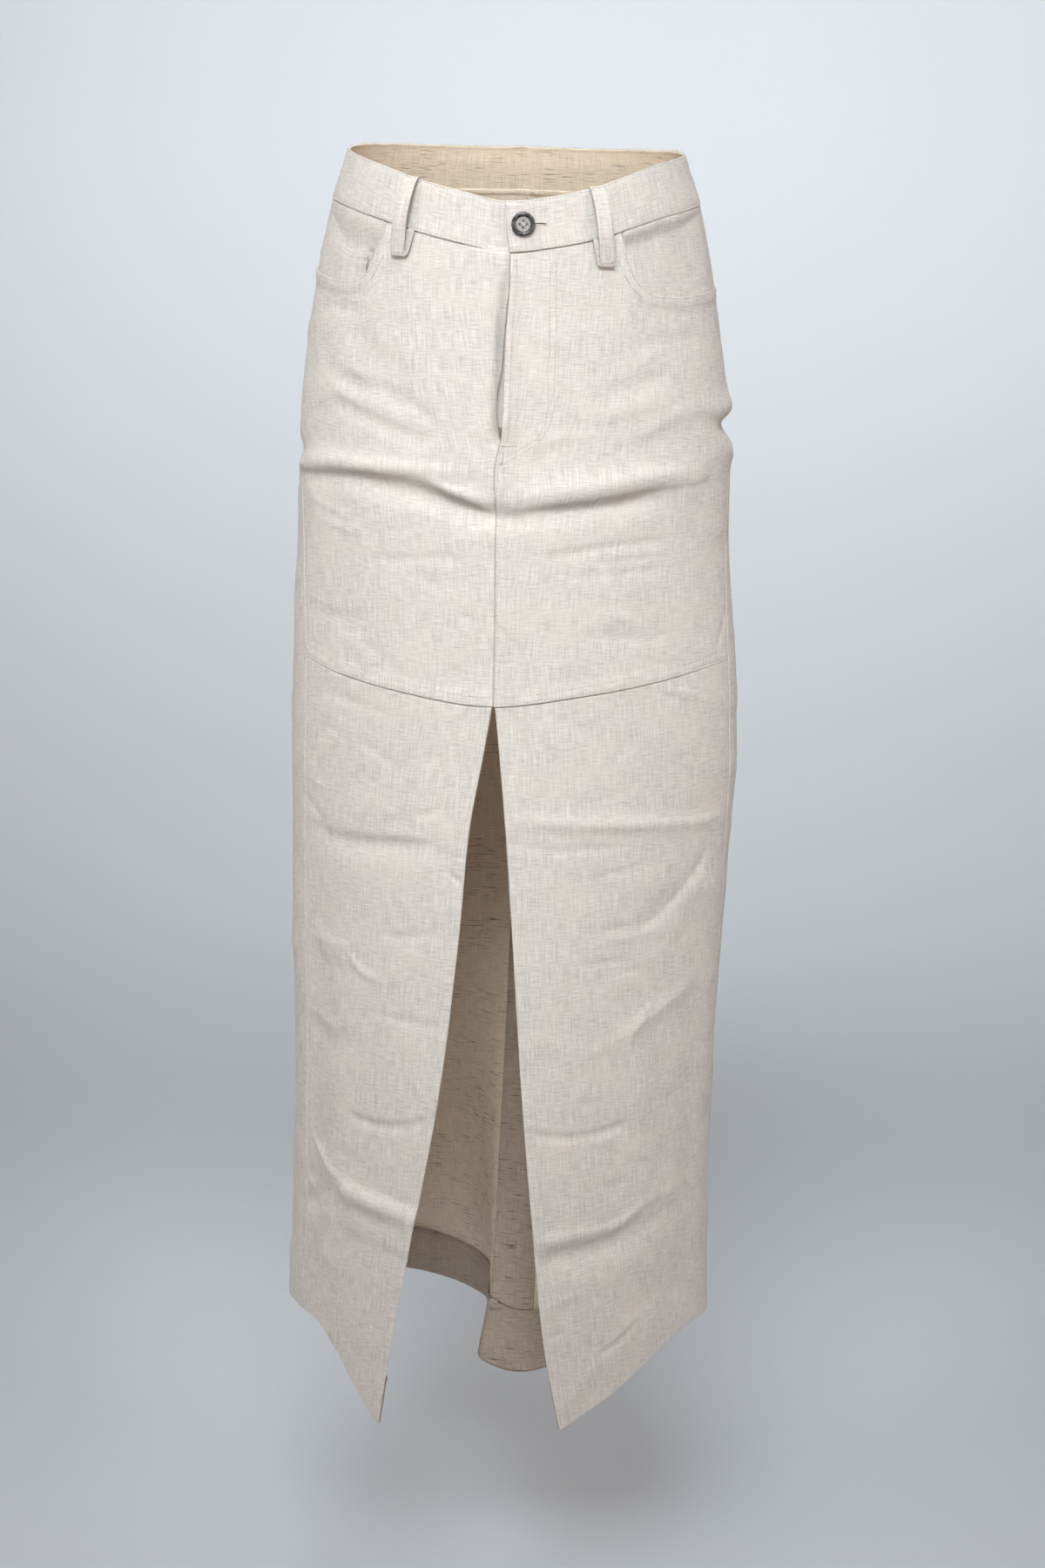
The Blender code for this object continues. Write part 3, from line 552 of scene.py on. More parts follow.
BACK_CREASES = (
    Crease(((104, -0.2320), (128, -0.2480), (158, -0.2660)), -0.0028, 0.006, 0.012, 12),
    Crease(((200, -0.2700), (226, -0.2560), (256, -0.2350)), -0.0026, 0.006, 0.012, 12),
    Crease(((120, -0.2960), (146, -0.3040), (172, -0.2960)), 0.0018, 0.010, 0.008, 12),
    Crease(((190, -0.3060), (212, -0.3160), (238, -0.3040)), -0.0018, 0.006, 0.012, 12),
    Crease(((96, -0.1750), (114, -0.1880), (136, -0.2080)), 0.0016, 0.010, 0.008, 10),
    Crease(((222, -0.2060), (244, -0.1880), (264, -0.1780)), 0.0016, 0.010, 0.008, 10),
    Crease(((-0.09, 150), (-0.16, 158), (-0.24, 170)), -0.0016, 0.012, 0.010, 0.04, Run.DOWN, 0.2),
    Crease(((-0.09, 210), (-0.15, 202), (-0.23, 188)), -0.0016, 0.010, 0.012, 0.04, Run.DOWN, 0.2),
    Crease(((112, -0.4480), (134, -0.4580), (160, -0.4520)), -0.0014, 0.007, 0.012, 12),
    Crease(((206, -0.4860), (226, -0.4780), (250, -0.4900)), -0.0014, 0.007, 0.012, 12),
    Crease(((100, -0.6240), (124, -0.6420), (150, -0.6360)), 0.0018, 0.012, 0.008, 12),
    Crease(((104, -0.8560), (126, -0.8760), (148, -0.8700)), 0.0026, 0.014, 0.006, 12),
    Crease(((212, -0.8620), (232, -0.8780), (256, -0.8640)), 0.0026, 0.014, 0.006, 12),
    Crease(((-0.36, 132), (-0.60, 128), (-0.92, 122)), 0.0030, 0.020, 0.020, 0.16, Run.DOWN, 0.1),
    Crease(((-0.36, 226), (-0.60, 232), (-0.92, 240)), 0.0030, 0.020, 0.020, 0.16, Run.DOWN, 0.1),
    Crease(((-0.30, 154), (-0.46, 152), (-0.66, 148)), -0.0022, 0.016, 0.016, 0.12, Run.DOWN, 0.1),
    Crease(((-0.30, 204), (-0.46, 208), (-0.66, 214)), -0.0022, 0.016, 0.016, 0.12, Run.DOWN, 0.1),
    Crease(((186, -1.0200), (194, -1.0050), (206, -0.9950)), 0.0016, 0.006, 0.008, 5),
    Crease(((150, -0.9350), (166, -0.9420), (178, -0.9360)), -0.0014, 0.006, 0.008, 5),
)

RUMPLES = (
    Rumples(11, 190, (-90, 90), (-0.40, -0.03), out=0.00040),
    Rumples(12, 300, (-90, 90), (-1.08, -0.40), (0.008, 0.032), (0.0020, 0.0050), out=0.00050),
    Rumples(13, 260, (90, 270), (-1.06, -0.03), (0.014, 0.044), (0.003, 0.007), out=0.00042),
    Rumples(14, 60, (-90, 90), (-1.05, -0.08), (0.022, 0.064), (0.007, 0.020), out=0.0011, tilt=34),
    Rumples(15, 30, (90, 270), (-1.05, -0.10), (0.040, 0.080), (0.012, 0.024), out=0.0012, tilt=30),
)


# ---- Meshes ------------------------------------------------------------------------------------


def grid_faces(rows: int, columns: int) -> Array:
    """The quads of a grid whose points run row by row, its rows down and its columns leftwards."""
    first = np.arange(rows - 1)[:, None] * columns + np.arange(columns - 1)[None, :]
    first = first.ravel()
    return np.stack([first, first + columns, first + columns + 1, first + 1], axis=1)


def link(name: str, data: bpy.types.ID) -> bpy.types.Object:
    """A new object for some data, in the scene's collection."""
    made = bpy.data.objects.new(name, data)
    bpy.context.scene.collection.objects.link(made)
    return made


def thicken(piece: bpy.types.Object, wall: float, inner_slot: int = 0) -> None:
    """Gives a surface its wall, inwards, with the inner face some material slots further on."""
    thick = piece.modifiers.new("wall", "SOLIDIFY")
    thick.thickness, thick.offset = wall, -1.0
    thick.use_rim = True
    thick.material_offset = inner_slot


def make_mesh(
    name: str, points: Array, faces: Array, uv: Array | None, *materials: bpy.types.Material
) -> bpy.types.Object:
    """A smooth mesh object from whole arrays.

    Args:
        name: The piece's name.
        points: One row for each vertex.
        faces: One row of vertex numbers for each face, all with as many corners.
        uv: One pair for each vertex, or None.
        materials: What fills the material slots.

    Returns:
        The object, linked to the scene's collection.
    """
    mesh = bpy.data.meshes.new(name)
    corners = faces.shape[1]
    mesh.vertices.add(len(points))
    mesh.vertices.foreach_set("co", points.astype(np.float32).ravel())
    mesh.loops.add(faces.size)
    mesh.loops.foreach_set("vertex_index", faces.astype(np.int32).ravel())
    mesh.polygons.add(len(faces))
    mesh.polygons.foreach_set("loop_start", np.arange(0, faces.size, corners, dtype=np.int32))
    mesh.polygons.foreach_set("use_smooth", np.ones(len(faces), dtype=bool))
    if uv is not None:
        layer = mesh.uv_layers.new(name=CLOTH_UV)
        layer.data.foreach_set("uv", uv[faces.ravel()].astype(np.float32).ravel())
    mesh.update(calc_edges=True)
    mesh.validate()
    for material in materials:
        mesh.materials.append(material)
    return link(name, mesh)


def make_sheet(name: str, points: Array, uv: Array, *materials: bpy.types.Material) -> bpy.types.Object:
    """A smooth mesh object from a whole grid of points, row by row."""
    faces = grid_faces(*points.shape[:2])
    return make_mesh(name, points.reshape(-1, 3), faces, uv.reshape(-1, 2), *materials)


# ---- Finishes ----------------------------------------------------------------------------------


def new_group(name: str, inputs: Sequence[tuple], outputs: Sequence[tuple]) -> tuple:
    """An empty shader group with named sockets.

    Args:
        name: The group's name.
        inputs: A name, a socket type and a default value for each input.
        outputs: A name and a socket type for each output.

    Returns:
        The group's tree, its input node and its output node.
    """
    tree = bpy.data.node_groups.new(name, "ShaderNodeTree")
    for label, kind, default in inputs:
        socket = tree.interface.new_socket(label, in_out="INPUT", socket_type=kind)
        if default is not None:
            socket.default_value = default
    for label, kind in outputs:
        tree.interface.new_socket(label, in_out="OUTPUT", socket_type=kind)
    return tree, tree.nodes.new("NodeGroupInput"), tree.nodes.new("NodeGroupOutput")


class Wiring:
    """Adds nodes to a tree and joins them."""

    def __init__(self, tree: bpy.types.NodeTree) -> None:
        """Keeps the tree."""
        self.tree = tree

    def add(self, kind: str, **settings: object) -> bpy.types.Node:
        """A shader node of a kind, with its settings."""
        node = self.tree.nodes.new(f"ShaderNode{kind}")
        for label, value in settings.items():
            setattr(node, label, value)
        return node

    def put(self, socket: bpy.types.NodeSocket, value: object) -> None:
        """Links a socket to another, or sets it to a constant."""
        if isinstance(value, bpy.types.NodeSocket):
            self.tree.links.new(value, socket)
        else:
            socket.default_value = value

    def feed(self, node: bpy.types.Node, values: dict[str, object]) -> None:
        """Puts a value to each of a node's named inputs."""
        for label, value in values.items():
            self.put(node.inputs[label], value)

    def math(self, operation: str, *values: object) -> bpy.types.NodeSocket:
        """One Math node."""
        node = self.add("Math", operation=operation)
        for socket, value in zip(node.inputs, values):
            self.put(socket, value)
        return node.outputs[0]

    def total(self, *parts: tuple[object, float]) -> bpy.types.NodeSocket:
        """The sum of a few values, each times its weight."""
        result, *others = [self.math("MULTIPLY", *part) for part in parts]
        for other in others:
            result = self.math("ADD", result, other)
        return result

    def axes(self, vector: object) -> bpy.types.NodeOutputs:
        """A vector's X, Y and Z."""
        node = self.add("SeparateXYZ")
        self.put(node.inputs[0], vector)
        return node.outputs

    def cloth_place(self) -> bpy.types.NodeSocket:
        """The place in the piece's own UV map."""
        return self.add("UVMap", uv_map=CLOTH_UV).outputs["UV"]

    def noise(
        self, place: object, scale: tuple, detail: float = 2.0, rough: float = 0.5
    ) -> bpy.types.NodeSocket:
        """Noise from 0 to 1.

        Args:
            place: Where it is read.
            scale: Grains in a metre along each axis.
            detail: How many finer layers are added.
            rough: How strong each finer layer is.

        Returns:
            The noise.
        """
        stretched = self.add("VectorMath", operation="MULTIPLY")
        self.put(stretched.inputs[0], place)
        self.put(stretched.inputs[1], scale)
        node = self.add("TexNoise")
        values = {"Scale": 1.0, "Detail": detail, "Roughness": rough, "Vector": stretched.outputs[0]}
        self.feed(node, values)
        return node.outputs["Fac"]

    def spread(self, value: object, low: float, high: float, to: tuple = (0.0, 1.0)) -> object:
        """A value brought from low..high to another range, and held there."""
        node = self.add("MapRange", clamp=True)
        self.feed(node, {"Value": value, "From Min": low, "From Max": high})
        self.feed(node, {"To Min": to[0], "To Max": to[1]})
        return node.outputs["Result"]

    def mix(self, share: object, first: object, second: object) -> bpy.types.NodeSocket:
        """A colour between two, by a share."""
        node = self.add("Mix", data_type="RGBA")
        shades = [rgba(shade) if isinstance(shade, tuple) else shade for shade in (first, second)]
        self.feed(node, {"Factor": share, "A": shades[0], "B": shades[1]})
        return node.outputs["Result"]


def new_material(name: str) -> tuple[bpy.types.Material, Wiring, bpy.types.Node]:
    """A new material, the wiring of its nodes and its Principled shader."""
    made = bpy.data.materials.new(name)
    made.use_nodes = True
    return made, Wiring(made.node_tree), made.node_tree.nodes["Principled BSDF"]


def rgba(colour: Colour) -> tuple[float, float, float, float]:
    """A colour with its opacity."""
    return (*colour, 1.0)


def linen_group() -> bpy.types.NodeTree:
    """Slubby plain weave in the cloth's own metres: colour, thread height and roughness.

    Warp and weft are noise stretched along their threads. Slubs are the darkest streaks of a
    third, coarser noise along the weft. Broad noise tints the cloth a little warmer or greener.
    """
    tree, given, made = new_group(
        "linen_weave",
        (
            ("Vector", "NodeSocketVector", None),
            ("Light", "NodeSocketColor", (0.8, 0.8, 0.8, 1)),
            ("Dark", "NodeSocketColor", (0.5, 0.5, 0.5, 1)),
            ("Slub", "NodeSocketColor", (0.3, 0.3, 0.3, 1)),
            ("Warm", "NodeSocketColor", (0.8, 0.7, 0.6, 1)),
            ("Slubs", "NodeSocketFloat", 0.5),
            ("Mottle", "NodeSocketFloat", 0.3),
        ),
        (
            ("Color", "NodeSocketColor"),
            ("Height", "NodeSocketFloat"),
            ("Roughness", "NodeSocketFloat"),
        ),
    )
    wire = Wiring(tree)
    place = given.outputs["Vector"]
    weft = wire.noise(place, (80.0, 980.0, 1.0), 2.0, 0.55)
    warp = wire.noise(place, (960.0, 46.0, 1.0), 2.0, 0.55)
    broad_weft = wire.noise(place, (34.0, 420.0, 1.0), 2.0, 0.6)
    broad_warp = wire.noise(place, (380.0, 26.0, 1.0), 2.0, 0.6)
    threads = wire.total((weft, 0.44), (warp, 0.44))
    broad = wire.total((broad_weft, 0.06), (broad_warp, 0.06))
    share = wire.spread(wire.math("ADD", threads, broad), 0.345, 0.655)
    colour = wire.mix(share, given.outputs["Dark"], given.outputs["Light"])
    tint = wire.spread(wire.noise(place, (20.0, 26.0, 1.0)), 0.46, 0.70)
    colour = wire.mix(wire.math("MULTIPLY", tint, given.outputs["Mottle"]), colour, given.outputs["Warm"])
    streak = wire.noise(place, (60.0, 900.0, 1.0), 1.0, 0.4)
    where = wire.noise(place, (20.0, 60.0, 1.0), 1.0, 0.5)
    slub = wire.math("MULTIPLY", wire.spread(streak, 0.56, 0.76), wire.spread(where, 0.40, 0.64))
    colour = wire.mix(wire.math("MULTIPLY", slub, given.outputs["Slubs"]), colour, given.outputs["Slub"])
    axes = wire.axes(place)
    half_turns = math.pi / WEAVE_STEP
    across, down = (wire.math("SINE", wire.math("MULTIPLY", axes[i], half_turns)) for i in (0, 1))
    over = wire.math("MULTIPLY", across, down)
    height = wire.total((over, 0.06), (threads, 1.1), (slub, 0.5))
    roughness = wire.spread(threads, 0.2, 0.4, (0.86, 0.96))
    wire.feed(made, {"Color": colour, "Height": height, "Roughness": roughness})
    return tree


@dataclass(frozen=True)
class LinenFinish:
    """Linen seen from one side."""

    name: str
    light: Colour
    dark: Colour
    slub: Colour
    warm: Colour
    slubs: float
    mottle: float
    sheen: float = 0.12

    def build(self, weave: bpy.types.NodeTree) -> bpy.types.Material:
        """The material: the weave in the piece's own metres, with a low bump and soft sheen."""
        made, wire, shader = new_material(self.name)
        cloth = wire.add("Group", node_tree=weave)
        given = {
            "Vector": wire.cloth_place(),
            "Light": rgba(self.light),
            "Dark": rgba(self.dark),
            "Slub": rgba(self.slub),
            "Warm": rgba(self.warm),
            "Slubs": self.slubs,
            "Mottle": self.mottle,
        }
        wire.feed(cloth, given)
        bump = wire.add("Bump")
        wire.feed(bump, {"Strength": 0.45, "Distance": 0.0003, "Height": cloth.outputs["Height"]})
        look = {
            "Base Color": cloth.outputs["Color"],
            "Roughness": cloth.outputs["Roughness"],
            "Normal": bump.outputs["Normal"],
            "Sheen Weight": self.sheen,
            "Sheen Roughness": 0.5,
            "Specular IOR Level": 0.25,
        }
        wire.feed(shader, look)
        return made


@dataclass(frozen=True)
class ThreadFinish:
    """Spun sewing thread, tonal with the cloth."""

    name: str = "thread"
    light: Colour = (0.80, 0.765, 0.71)
    dark: Colour = (0.56, 0.52, 0.47)
    # painted shade: the dark of a needle hole
    hole: Colour = (0.19, 0.155, 0.130)

    def build(self) -> bpy.types.Material:
        """The material: fine noise between two tones, and the painted shade of a needle hole where the UV
        map's u is 1.
        """
        made, wire, shader = new_material(self.name)
        grain = wire.noise(wire.add("TexCoord").outputs["Object"], (420.0, 420.0, 420.0), 1.0)
        spun = wire.mix(wire.spread(grain, 0.3, 0.7), self.dark, self.light)
        look = {
            "Base Color": wire.mix(wire.axes(wire.cloth_place())["X"], spun, self.hole),
            "Roughness": wire.spread(grain, 0.3, 0.7, (0.70, 0.85)),
            "Specular IOR Level": 0.3,
        }
        wire.feed(shader, look)
        return made


@dataclass(frozen=True)
class HornFinish:
    """Polished button: a dark mottled rim, and a pearly middle with faint rings."""

    name: str = "button_horn"
    rim: Colour = (0.030, 0.028, 0.027)
    rim_light: Colour = (0.140, 0.130, 0.120)
    middle: Colour = (0.270, 0.255, 0.258)
    middle_light: Colour = (0.480, 0.458, 0.460)

    def build(self, radius: float) -> bpy.types.Material:
        """The material, by the distance from the middle kept in the button's own UV map.

        Args:
            radius: The button's radius.

        Returns:
            The material.
        """
        made, wire, shader = new_material(self.name)
        place = wire.cloth_place()
        length = wire.add("VectorMath", operation="LENGTH")
        wire.put(length.inputs[0], place)
        away = wire.math("DIVIDE", length.outputs["Value"], radius)
        swirl = wire.noise(place, (330.0, 240.0, 1.0), 3.0, 0.6)
        streaks = wire.noise(place, (900.0, 220.0, 1.0), 2.0, 0.6)
        rim = wire.mix(wire.spread(swirl, 0.42, 0.72), self.rim, self.rim_light)
        middle = wire.mix(wire.spread(streaks, 0.35, 0.65), self.middle, self.middle_light)
        edge = wire.math("ADD", away, wire.math("MULTIPLY", wire.math("SUBTRACT", swirl, 0.5), 0.10))
        look = {
            "Base Color": wire.mix(wire.spread(edge, 0.57, 0.63), middle, rim),
            "Roughness": wire.spread(swirl, 0.3, 0.7, (0.22, 0.34)),
            "Coat Weight": 0.35,
        }
        wire.feed(shader, look)
        return made


@dataclass(frozen=True)
class PlainFinish:
    """A matt studio surface."""

    name: str
    colour: Colour
    roughness: float = 0.9

    def build(self) -> bpy.types.Material:
        """The material, very slightly mottled."""
        made, wire, shader = new_material(self.name)
        grain = wire.noise(wire.add("TexCoord").outputs["Object"], (2.0, 2.0, 2.0))
        other = tuple(0.97 * value for value in self.colour)
        colour = wire.mix(grain, self.colour, other)
        wire.feed(shader, {"Base Color": colour, "Roughness": self.roughness, "Specular IOR Level": 0.2})
        return made


OUTSIDE = LinenFinish(
    "linen",
    light=(0.790, 0.746, 0.711),
    dark=(0.497, 0.450, 0.411),
    slub=(0.330, 0.280, 0.235),
    warm=(0.760, 0.670, 0.580),
    slubs=0.38,
    mottle=0.31,
)
# Painted light: the wrong side is brighter and warmer than the outside cloth, standing in for light that
# comes through the linen and bounces round inside the skirt.
INSIDE_PAINTED_LIGHT = LinenFinish(
    "linen_wrong_side_painted_light",
    light=(0.930, 0.795, 0.640),
    dark=(0.660, 0.540, 0.420),
    slub=(0.270, 0.200, 0.145),
    warm=(0.780, 0.640, 0.480),
    slubs=1.25,
    mottle=0.30,
    sheen=0.05,
)
# Painted shade: the doubled wrong side is darker than the single one, standing in for less light coming
# through two layers of linen.
DOUBLED_PAINTED_SHADE = replace(
    INSIDE_PAINTED_LIGHT,
    name="linen_doubled_painted_shade",
    light=(0.545, 0.448, 0.370),
    dark=(0.350, 0.275, 0.218),
    slub=(0.190, 0.140, 0.100),
    warm=(0.500, 0.400, 0.300),
)


@dataclass
class Palette:
    """The built materials."""

    outside: bpy.types.Material
    inside: bpy.types.Material
    doubled: bpy.types.Material
    thread: bpy.types.Material
    shade_thread: bpy.types.Material

    @classmethod
    def build(cls) -> Palette:
        """Builds each cloth and thread material once."""
        weave = linen_group()
        return cls(
            OUTSIDE.build(weave),
            INSIDE_PAINTED_LIGHT.build(weave),
            DOUBLED_PAINTED_SHADE.build(weave),
            ThreadFinish().build(),
            # the inside thread is darker: painted shade
            ThreadFinish("thread_inside_painted_shade", (0.42, 0.35, 0.28), (0.27, 0.21, 0.16)).build(),
        )


# ---- Panels ------------------------------------------------------------------------------------


class Kind(Enum):
    """How a panel ends at an edge."""

    FREE = "turned in, with nothing beside it"
    LAPS = "turned in, and lies over its neighbour"
    TUCKS = "goes in under its neighbour"
    BUTTS = "pressed flat against its neighbour in a plain seam"


@dataclass(frozen=True)
class Edge:
    """One edge line of a panel, how it ends, and the sewing beside it."""

    line: Curve
    kind: Kind
    turning: float = 0.010
    rows: tuple[float, ...] = ()
    past: tuple[float, float, Kind] | None = None  # from one place to another it becomes this kind
    thick: float = 0.0005
    sink: float = 0.0009  # how deep a tucked edge goes in
    paling: tuple[float, float] | None = None  # degrees to either side between which it flattens

    def share(self, kind: Kind, at: Array) -> Array:
        """How much of a kind the edge is, 0 to 1, at these angles or, on a side edge, heights."""
        if self.past is None:
            return np.full(np.shape(at), float(self.kind is kind))
        first, last, other = self.past
        changed = np.clip((at - first) / (last - first), 0.0, 1.0)
        return (self.kind is kind) * (1 - changed) + (other is kind) * changed

    def reach(self, at: Array) -> Array:
        """How much of the strip that goes on under a neighbour is there, almost 0 to 1."""
        return 0.02 + 0.98 * self.share(Kind.TUCKS, at)

    def relief(self, distance: Array, along: Array, at: Array) -> Array:
        """How far the edge's turnings and sewing move the cloth out.

        A turned edge is a step one cloth high out to its turning, rounded off like a quarter
        circle at the very edge. A tucked one goes in by two cloths, a butted one dips. Each row
        of stitches is a narrow groove, whose depth waves along the row.

        Args:
            distance: Metres in from the edge line.
            along: Metres along it.
            at: Degrees, or heights on a side edge.

        Returns:
            Metres out.
        """
        doubled = self.share(Kind.FREE, at) + self.share(Kind.LAPS, at)
        near = np.clip(1 - distance / ROUNDING, 0.0, 1.0)
        round_off = ROUNDING * (1 - np.sqrt(1 - np.minimum(near, 0.98) ** 2))
        step = self.thick * (1 - ease(distance, self.turning + STEP[0], self.turning + STEP[1]))
        total = doubled * (step - round_off)
        total += self.share(Kind.LAPS, at) * STANDS * (1 - ease(distance, 0.001, 0.006))
        total -= self.share(Kind.TUCKS, at) * self.sink * (1 - ease(distance, -0.0006, 0.0012))
        total -= self.share(Kind.BUTTS, at) * DIPS * bump(distance, 0.0015)
        if self.paling is not None:
            total *= 1 - 0.7 * ease(np.abs(at), *self.paling)
        wave = waver(along, 0.0013, 2.1, 0.0051)
        for inset in self.rows:
            groove = bump(distance - inset, GROOVE[1])
            total -= doubled * GROOVE[0] * groove * (1 + 0.4 * wave)
        if self.rows:
            pucker = waver(along, 0.0021, 1.9, 0.0083)
            total += doubled * PUCKER[0] * pucker * bump(distance, PUCKER[1])
        return total


def raw(line: Curve) -> Edge:
    """An edge that is only cut, with no turning that shows."""
    return Edge(line, Kind.FREE, thick=0.0)


def stations(length: float, step: float, tucked: tuple[bool, bool]) -> Array:
    """Shares of a panel's width for its grid lines, close together near both edges.

    Args:
        length: The panel's width there.
        step: The spacing in the middle.
        tucked: Whether the first and the last edge go on under a neighbour.

    Returns:
        The shares, from just below 0 to just above 1 where the edges tuck.
    """
    fine, under = np.array(GRID_IN), np.array(GRID_UNDER)
    fine = fine[fine < length * 0.45]
    count = max(2, round((length - 2 * fine[-1]) / step))
    middle = np.linspace(fine[-1], length - fine[-1], count + 1)[1:-1]
    parts = [under] if tucked[0] else []
    parts += [fine, middle, (length - fine)[::-1]]
    if tucked[1]:
        parts.append((length - under)[::-1])
    return np.concatenate(parts) / length


@dataclass
class Panel:
    """A piece of cloth between four edges, over the worn form."""

    name: str
    form: WornForm
    creasing: Creasing
    start: Edge
    stop: Edge
    top: Edge
    bottom: Edge
    size: tuple[float, float]  # what sets the grid
    cut: tuple[float, float]  # width and height of a flat rectangle that holds the piece
    cut_area: float | None = None
    step: float = 0.0032
    sunk: Curve = field(default_factory=lambda: constant(0.0))
    wall: float = WALL
    finer: tuple[float, float] | None = None  # the angles between which columns stand closer
    lifting: Callable[[Array, Array], Array] | None = None
    slot: str = "linen"
    held: str = "hung"
    grain: Curve | None = None  # the line that the weft follows, level where it is None
    straight: bool = False  # whether the warp runs straight down each column

    def edges(self) -> tuple[Edge, Edge, Edge, Edge]:
        """The four edges: start, stop, top and bottom."""
        return self.start, self.stop, self.top, self.bottom

    def distances(self, angle: Array, height: Array, per_degree: Array) -> list[Array]:
        """How far in from each edge, measured square to its line."""
        flat, found = wrapped(angle), []
        rise, turn = 0.002, 0.4
        for edge, sign in ((self.start, 1), (self.stop, -1)):
            gap = sign * (angle - edge.line(height)) * per_degree
            run = edge.line(height + rise) - edge.line(height - rise)
            found.append(gap / np.sqrt(1 + (run / (2 * rise) * per_degree) ** 2))
        for edge, sign in ((self.top, 1), (self.bottom, -1)):
            gap = sign * (edge.line(flat) - height)
            run = edge.line(flat + turn) - edge.line(flat - turn)
            found.append(gap / np.sqrt(1 + (run / (2 * turn) / per_degree) ** 2))
        return found

    def relief(self, angle: Array, height: Array, per_degree: Array) -> Array:
        """How far out the cloth lies: its layer, its creases, its edges and its sewing."""
        total = self.creasing.at(angle, height, per_degree) + self.sunk(angle)
        flat = wrapped(angle)
        sides, ends = (height, height), (angle * METRES_A_DEGREE, flat)
        along = (sides, sides, ends, ends)
        for edge, distance, place in zip(self.edges(), self.distances(angle, height, per_degree), along):
            total = total + edge.relief(distance, *place)
        if self.lifting is not None:
            total = total + self.lifting(angle, height)
        return total

    def place(self, angle: Array, height: Array, lift: float | Array = 0.0) -> tuple[Array, Array]:
        """The finished cloth's points, and the form's normals, at these places."""
        points, normal, per_degree = self.form.basis(angle, height)
        angle, height = np.broadcast_arrays(angle, height)
        out = self.relief(angle, height, per_degree) + lift
        return points + normal * out[..., None], normal

    def grid(self) -> tuple[Array, Array]:
        """The angle and height of each grid point.

        Columns keep their shares of the way between the side edges, and rows their shares of the
        way from the top to the bottom. Each depends on the other, so they are found in rounds.
        """
        tucks = [Kind.TUCKS in (edge.kind, edge.past and edge.past[2]) for edge in self.edges()]
        shares = stations(self.size[0], self.step, (tucks[0], tucks[1]))
        if self.finer is not None:
            level = float(np.mean([value_at(edge.line, 0.0) for edge in (self.top, self.bottom)]))
            low, high = (value_at(edge.line, level) for edge in (self.start, self.stop))
            span = (np.array(self.finer) - low) / (high - low)
            extra = np.linspace(*span, round(abs(span[1] - span[0]) * self.size[0] / 0.0008))
            shares = np.unique(np.concatenate([shares, extra]).round(6))
            shares = shares[np.concatenate([[True], np.diff(shares) > 0.0003 / self.size[0]])]
        downs = stations(self.size[1], self.step, (tucks[2], tucks[3]))
        share, down = np.meshgrid(shares, downs)
        upper, lower = self.top.line(np.zeros(1)), self.bottom.line(np.zeros(1))
        height = upper + (lower - upper) * down
        for _ in range(8):
            low, high = self.start.line(height), self.stop.line(height)
            angle = low + (high - low) * self.drawn_in(share, self.start, self.stop, height)
            flat = wrapped(angle)
            upper, lower = self.top.line(flat), self.bottom.line(flat)
            height = upper + (lower - upper) * self.drawn_in(down, self.top, self.bottom, flat)
        return angle, height

    @staticmethod
    def drawn_in(share: Array, first: Edge, last: Edge, at: Array) -> Array:
        """Shares whose parts below 0 and above 1 shrink to how far each edge reaches on."""
        inside = np.clip(share, 0.0, 1.0)
        before, after = np.minimum(share, 0.0), np.maximum(share - 1.0, 0.0)
        return inside + before * first.reach(at) + after * last.reach(at)

    def build(self, palette: Palette) -> bpy.types.Object:
        """The shell: the grid's surface, with its UV in metres along weft and warp.

        Args:
            palette: The materials.

        Returns:
            The piece, thickened inwards.
        """
        angle, height = self.grid()
        points, _ = self.place(angle, height)
        rows, columns = angle.shape
        middle = columns // 2
        steps = np.linalg.norm(np.diff(points, axis=1), axis=2)
        along = np.concatenate([np.zeros((rows, 1)), np.cumsum(steps, axis=1)], axis=1)
        along = along - along[:, middle : middle + 1]
        if self.straight:
            along = along[rows // 2] + 0 * along
        shift = float(angle[0, middle]) * WEAVE_SHIFT
        weft = 0.0 if self.grain is None else self.grain(wrapped(angle))
        uv = np.stack([along + shift, (height - weft) * 1.02 + shift * 0.7], axis=-1)
        # inner faces take the wrong side's painted light, and a doubled piece takes the darker painted
        # shade on both faces
        doubled = self.slot == "linen_inside"
        outside, inside = (palette.doubled,) * 2 if doubled else (palette.outside, palette.inside)
        piece = make_sheet(self.name, points, uv, outside, inside)
        thicken(piece, self.wall, 1)
        return piece

    def path(self, edge: Edge, inset: float, start: float, stop: float, count: int = 400) -> tuple:
        """A path beside an edge, at a distance square to it.

        Args:
            edge: The edge, one of the panel's own.
            inset: How far in from it.
            start: Where the path starts: a height on a side edge, an angle on the others.
            stop: Where it stops.
            count: How many points it has.

        Returns:
            Its angles and heights.
        """
        place = np.linspace(start, stop, count)
        if edge is self.start or edge is self.stop:
            angle, height = edge.line(place), place
            sign = 1 if edge is self.start else -1
            inward = np.array([sign, 0.0])
        else:
            angle, height = place, edge.line(wrapped(place))
            inward = np.array([0.0, -1 if edge is self.top else 1])
        per_degree = self.form.basis(angle, height)[2]
        run = np.gradient(np.stack([angle * per_degree.mean(), height], axis=-1), axis=0)
        square = np.stack([-run[:, 1], run[:, 0]], axis=-1)
        square /= np.linalg.norm(square, axis=-1, keepdims=True)
        square *= np.sign((square * inward).sum(axis=-1, keepdims=True))
        return angle + square[:, 0] * inset / per_degree, height + square[:, 1] * inset


# ---- Sewing ------------------------------------------------------------------------------------


def arch(foot: float, top: float) -> Array:
    """How far out a stitch's four points lie."""
    return np.array([foot, top, top, foot])


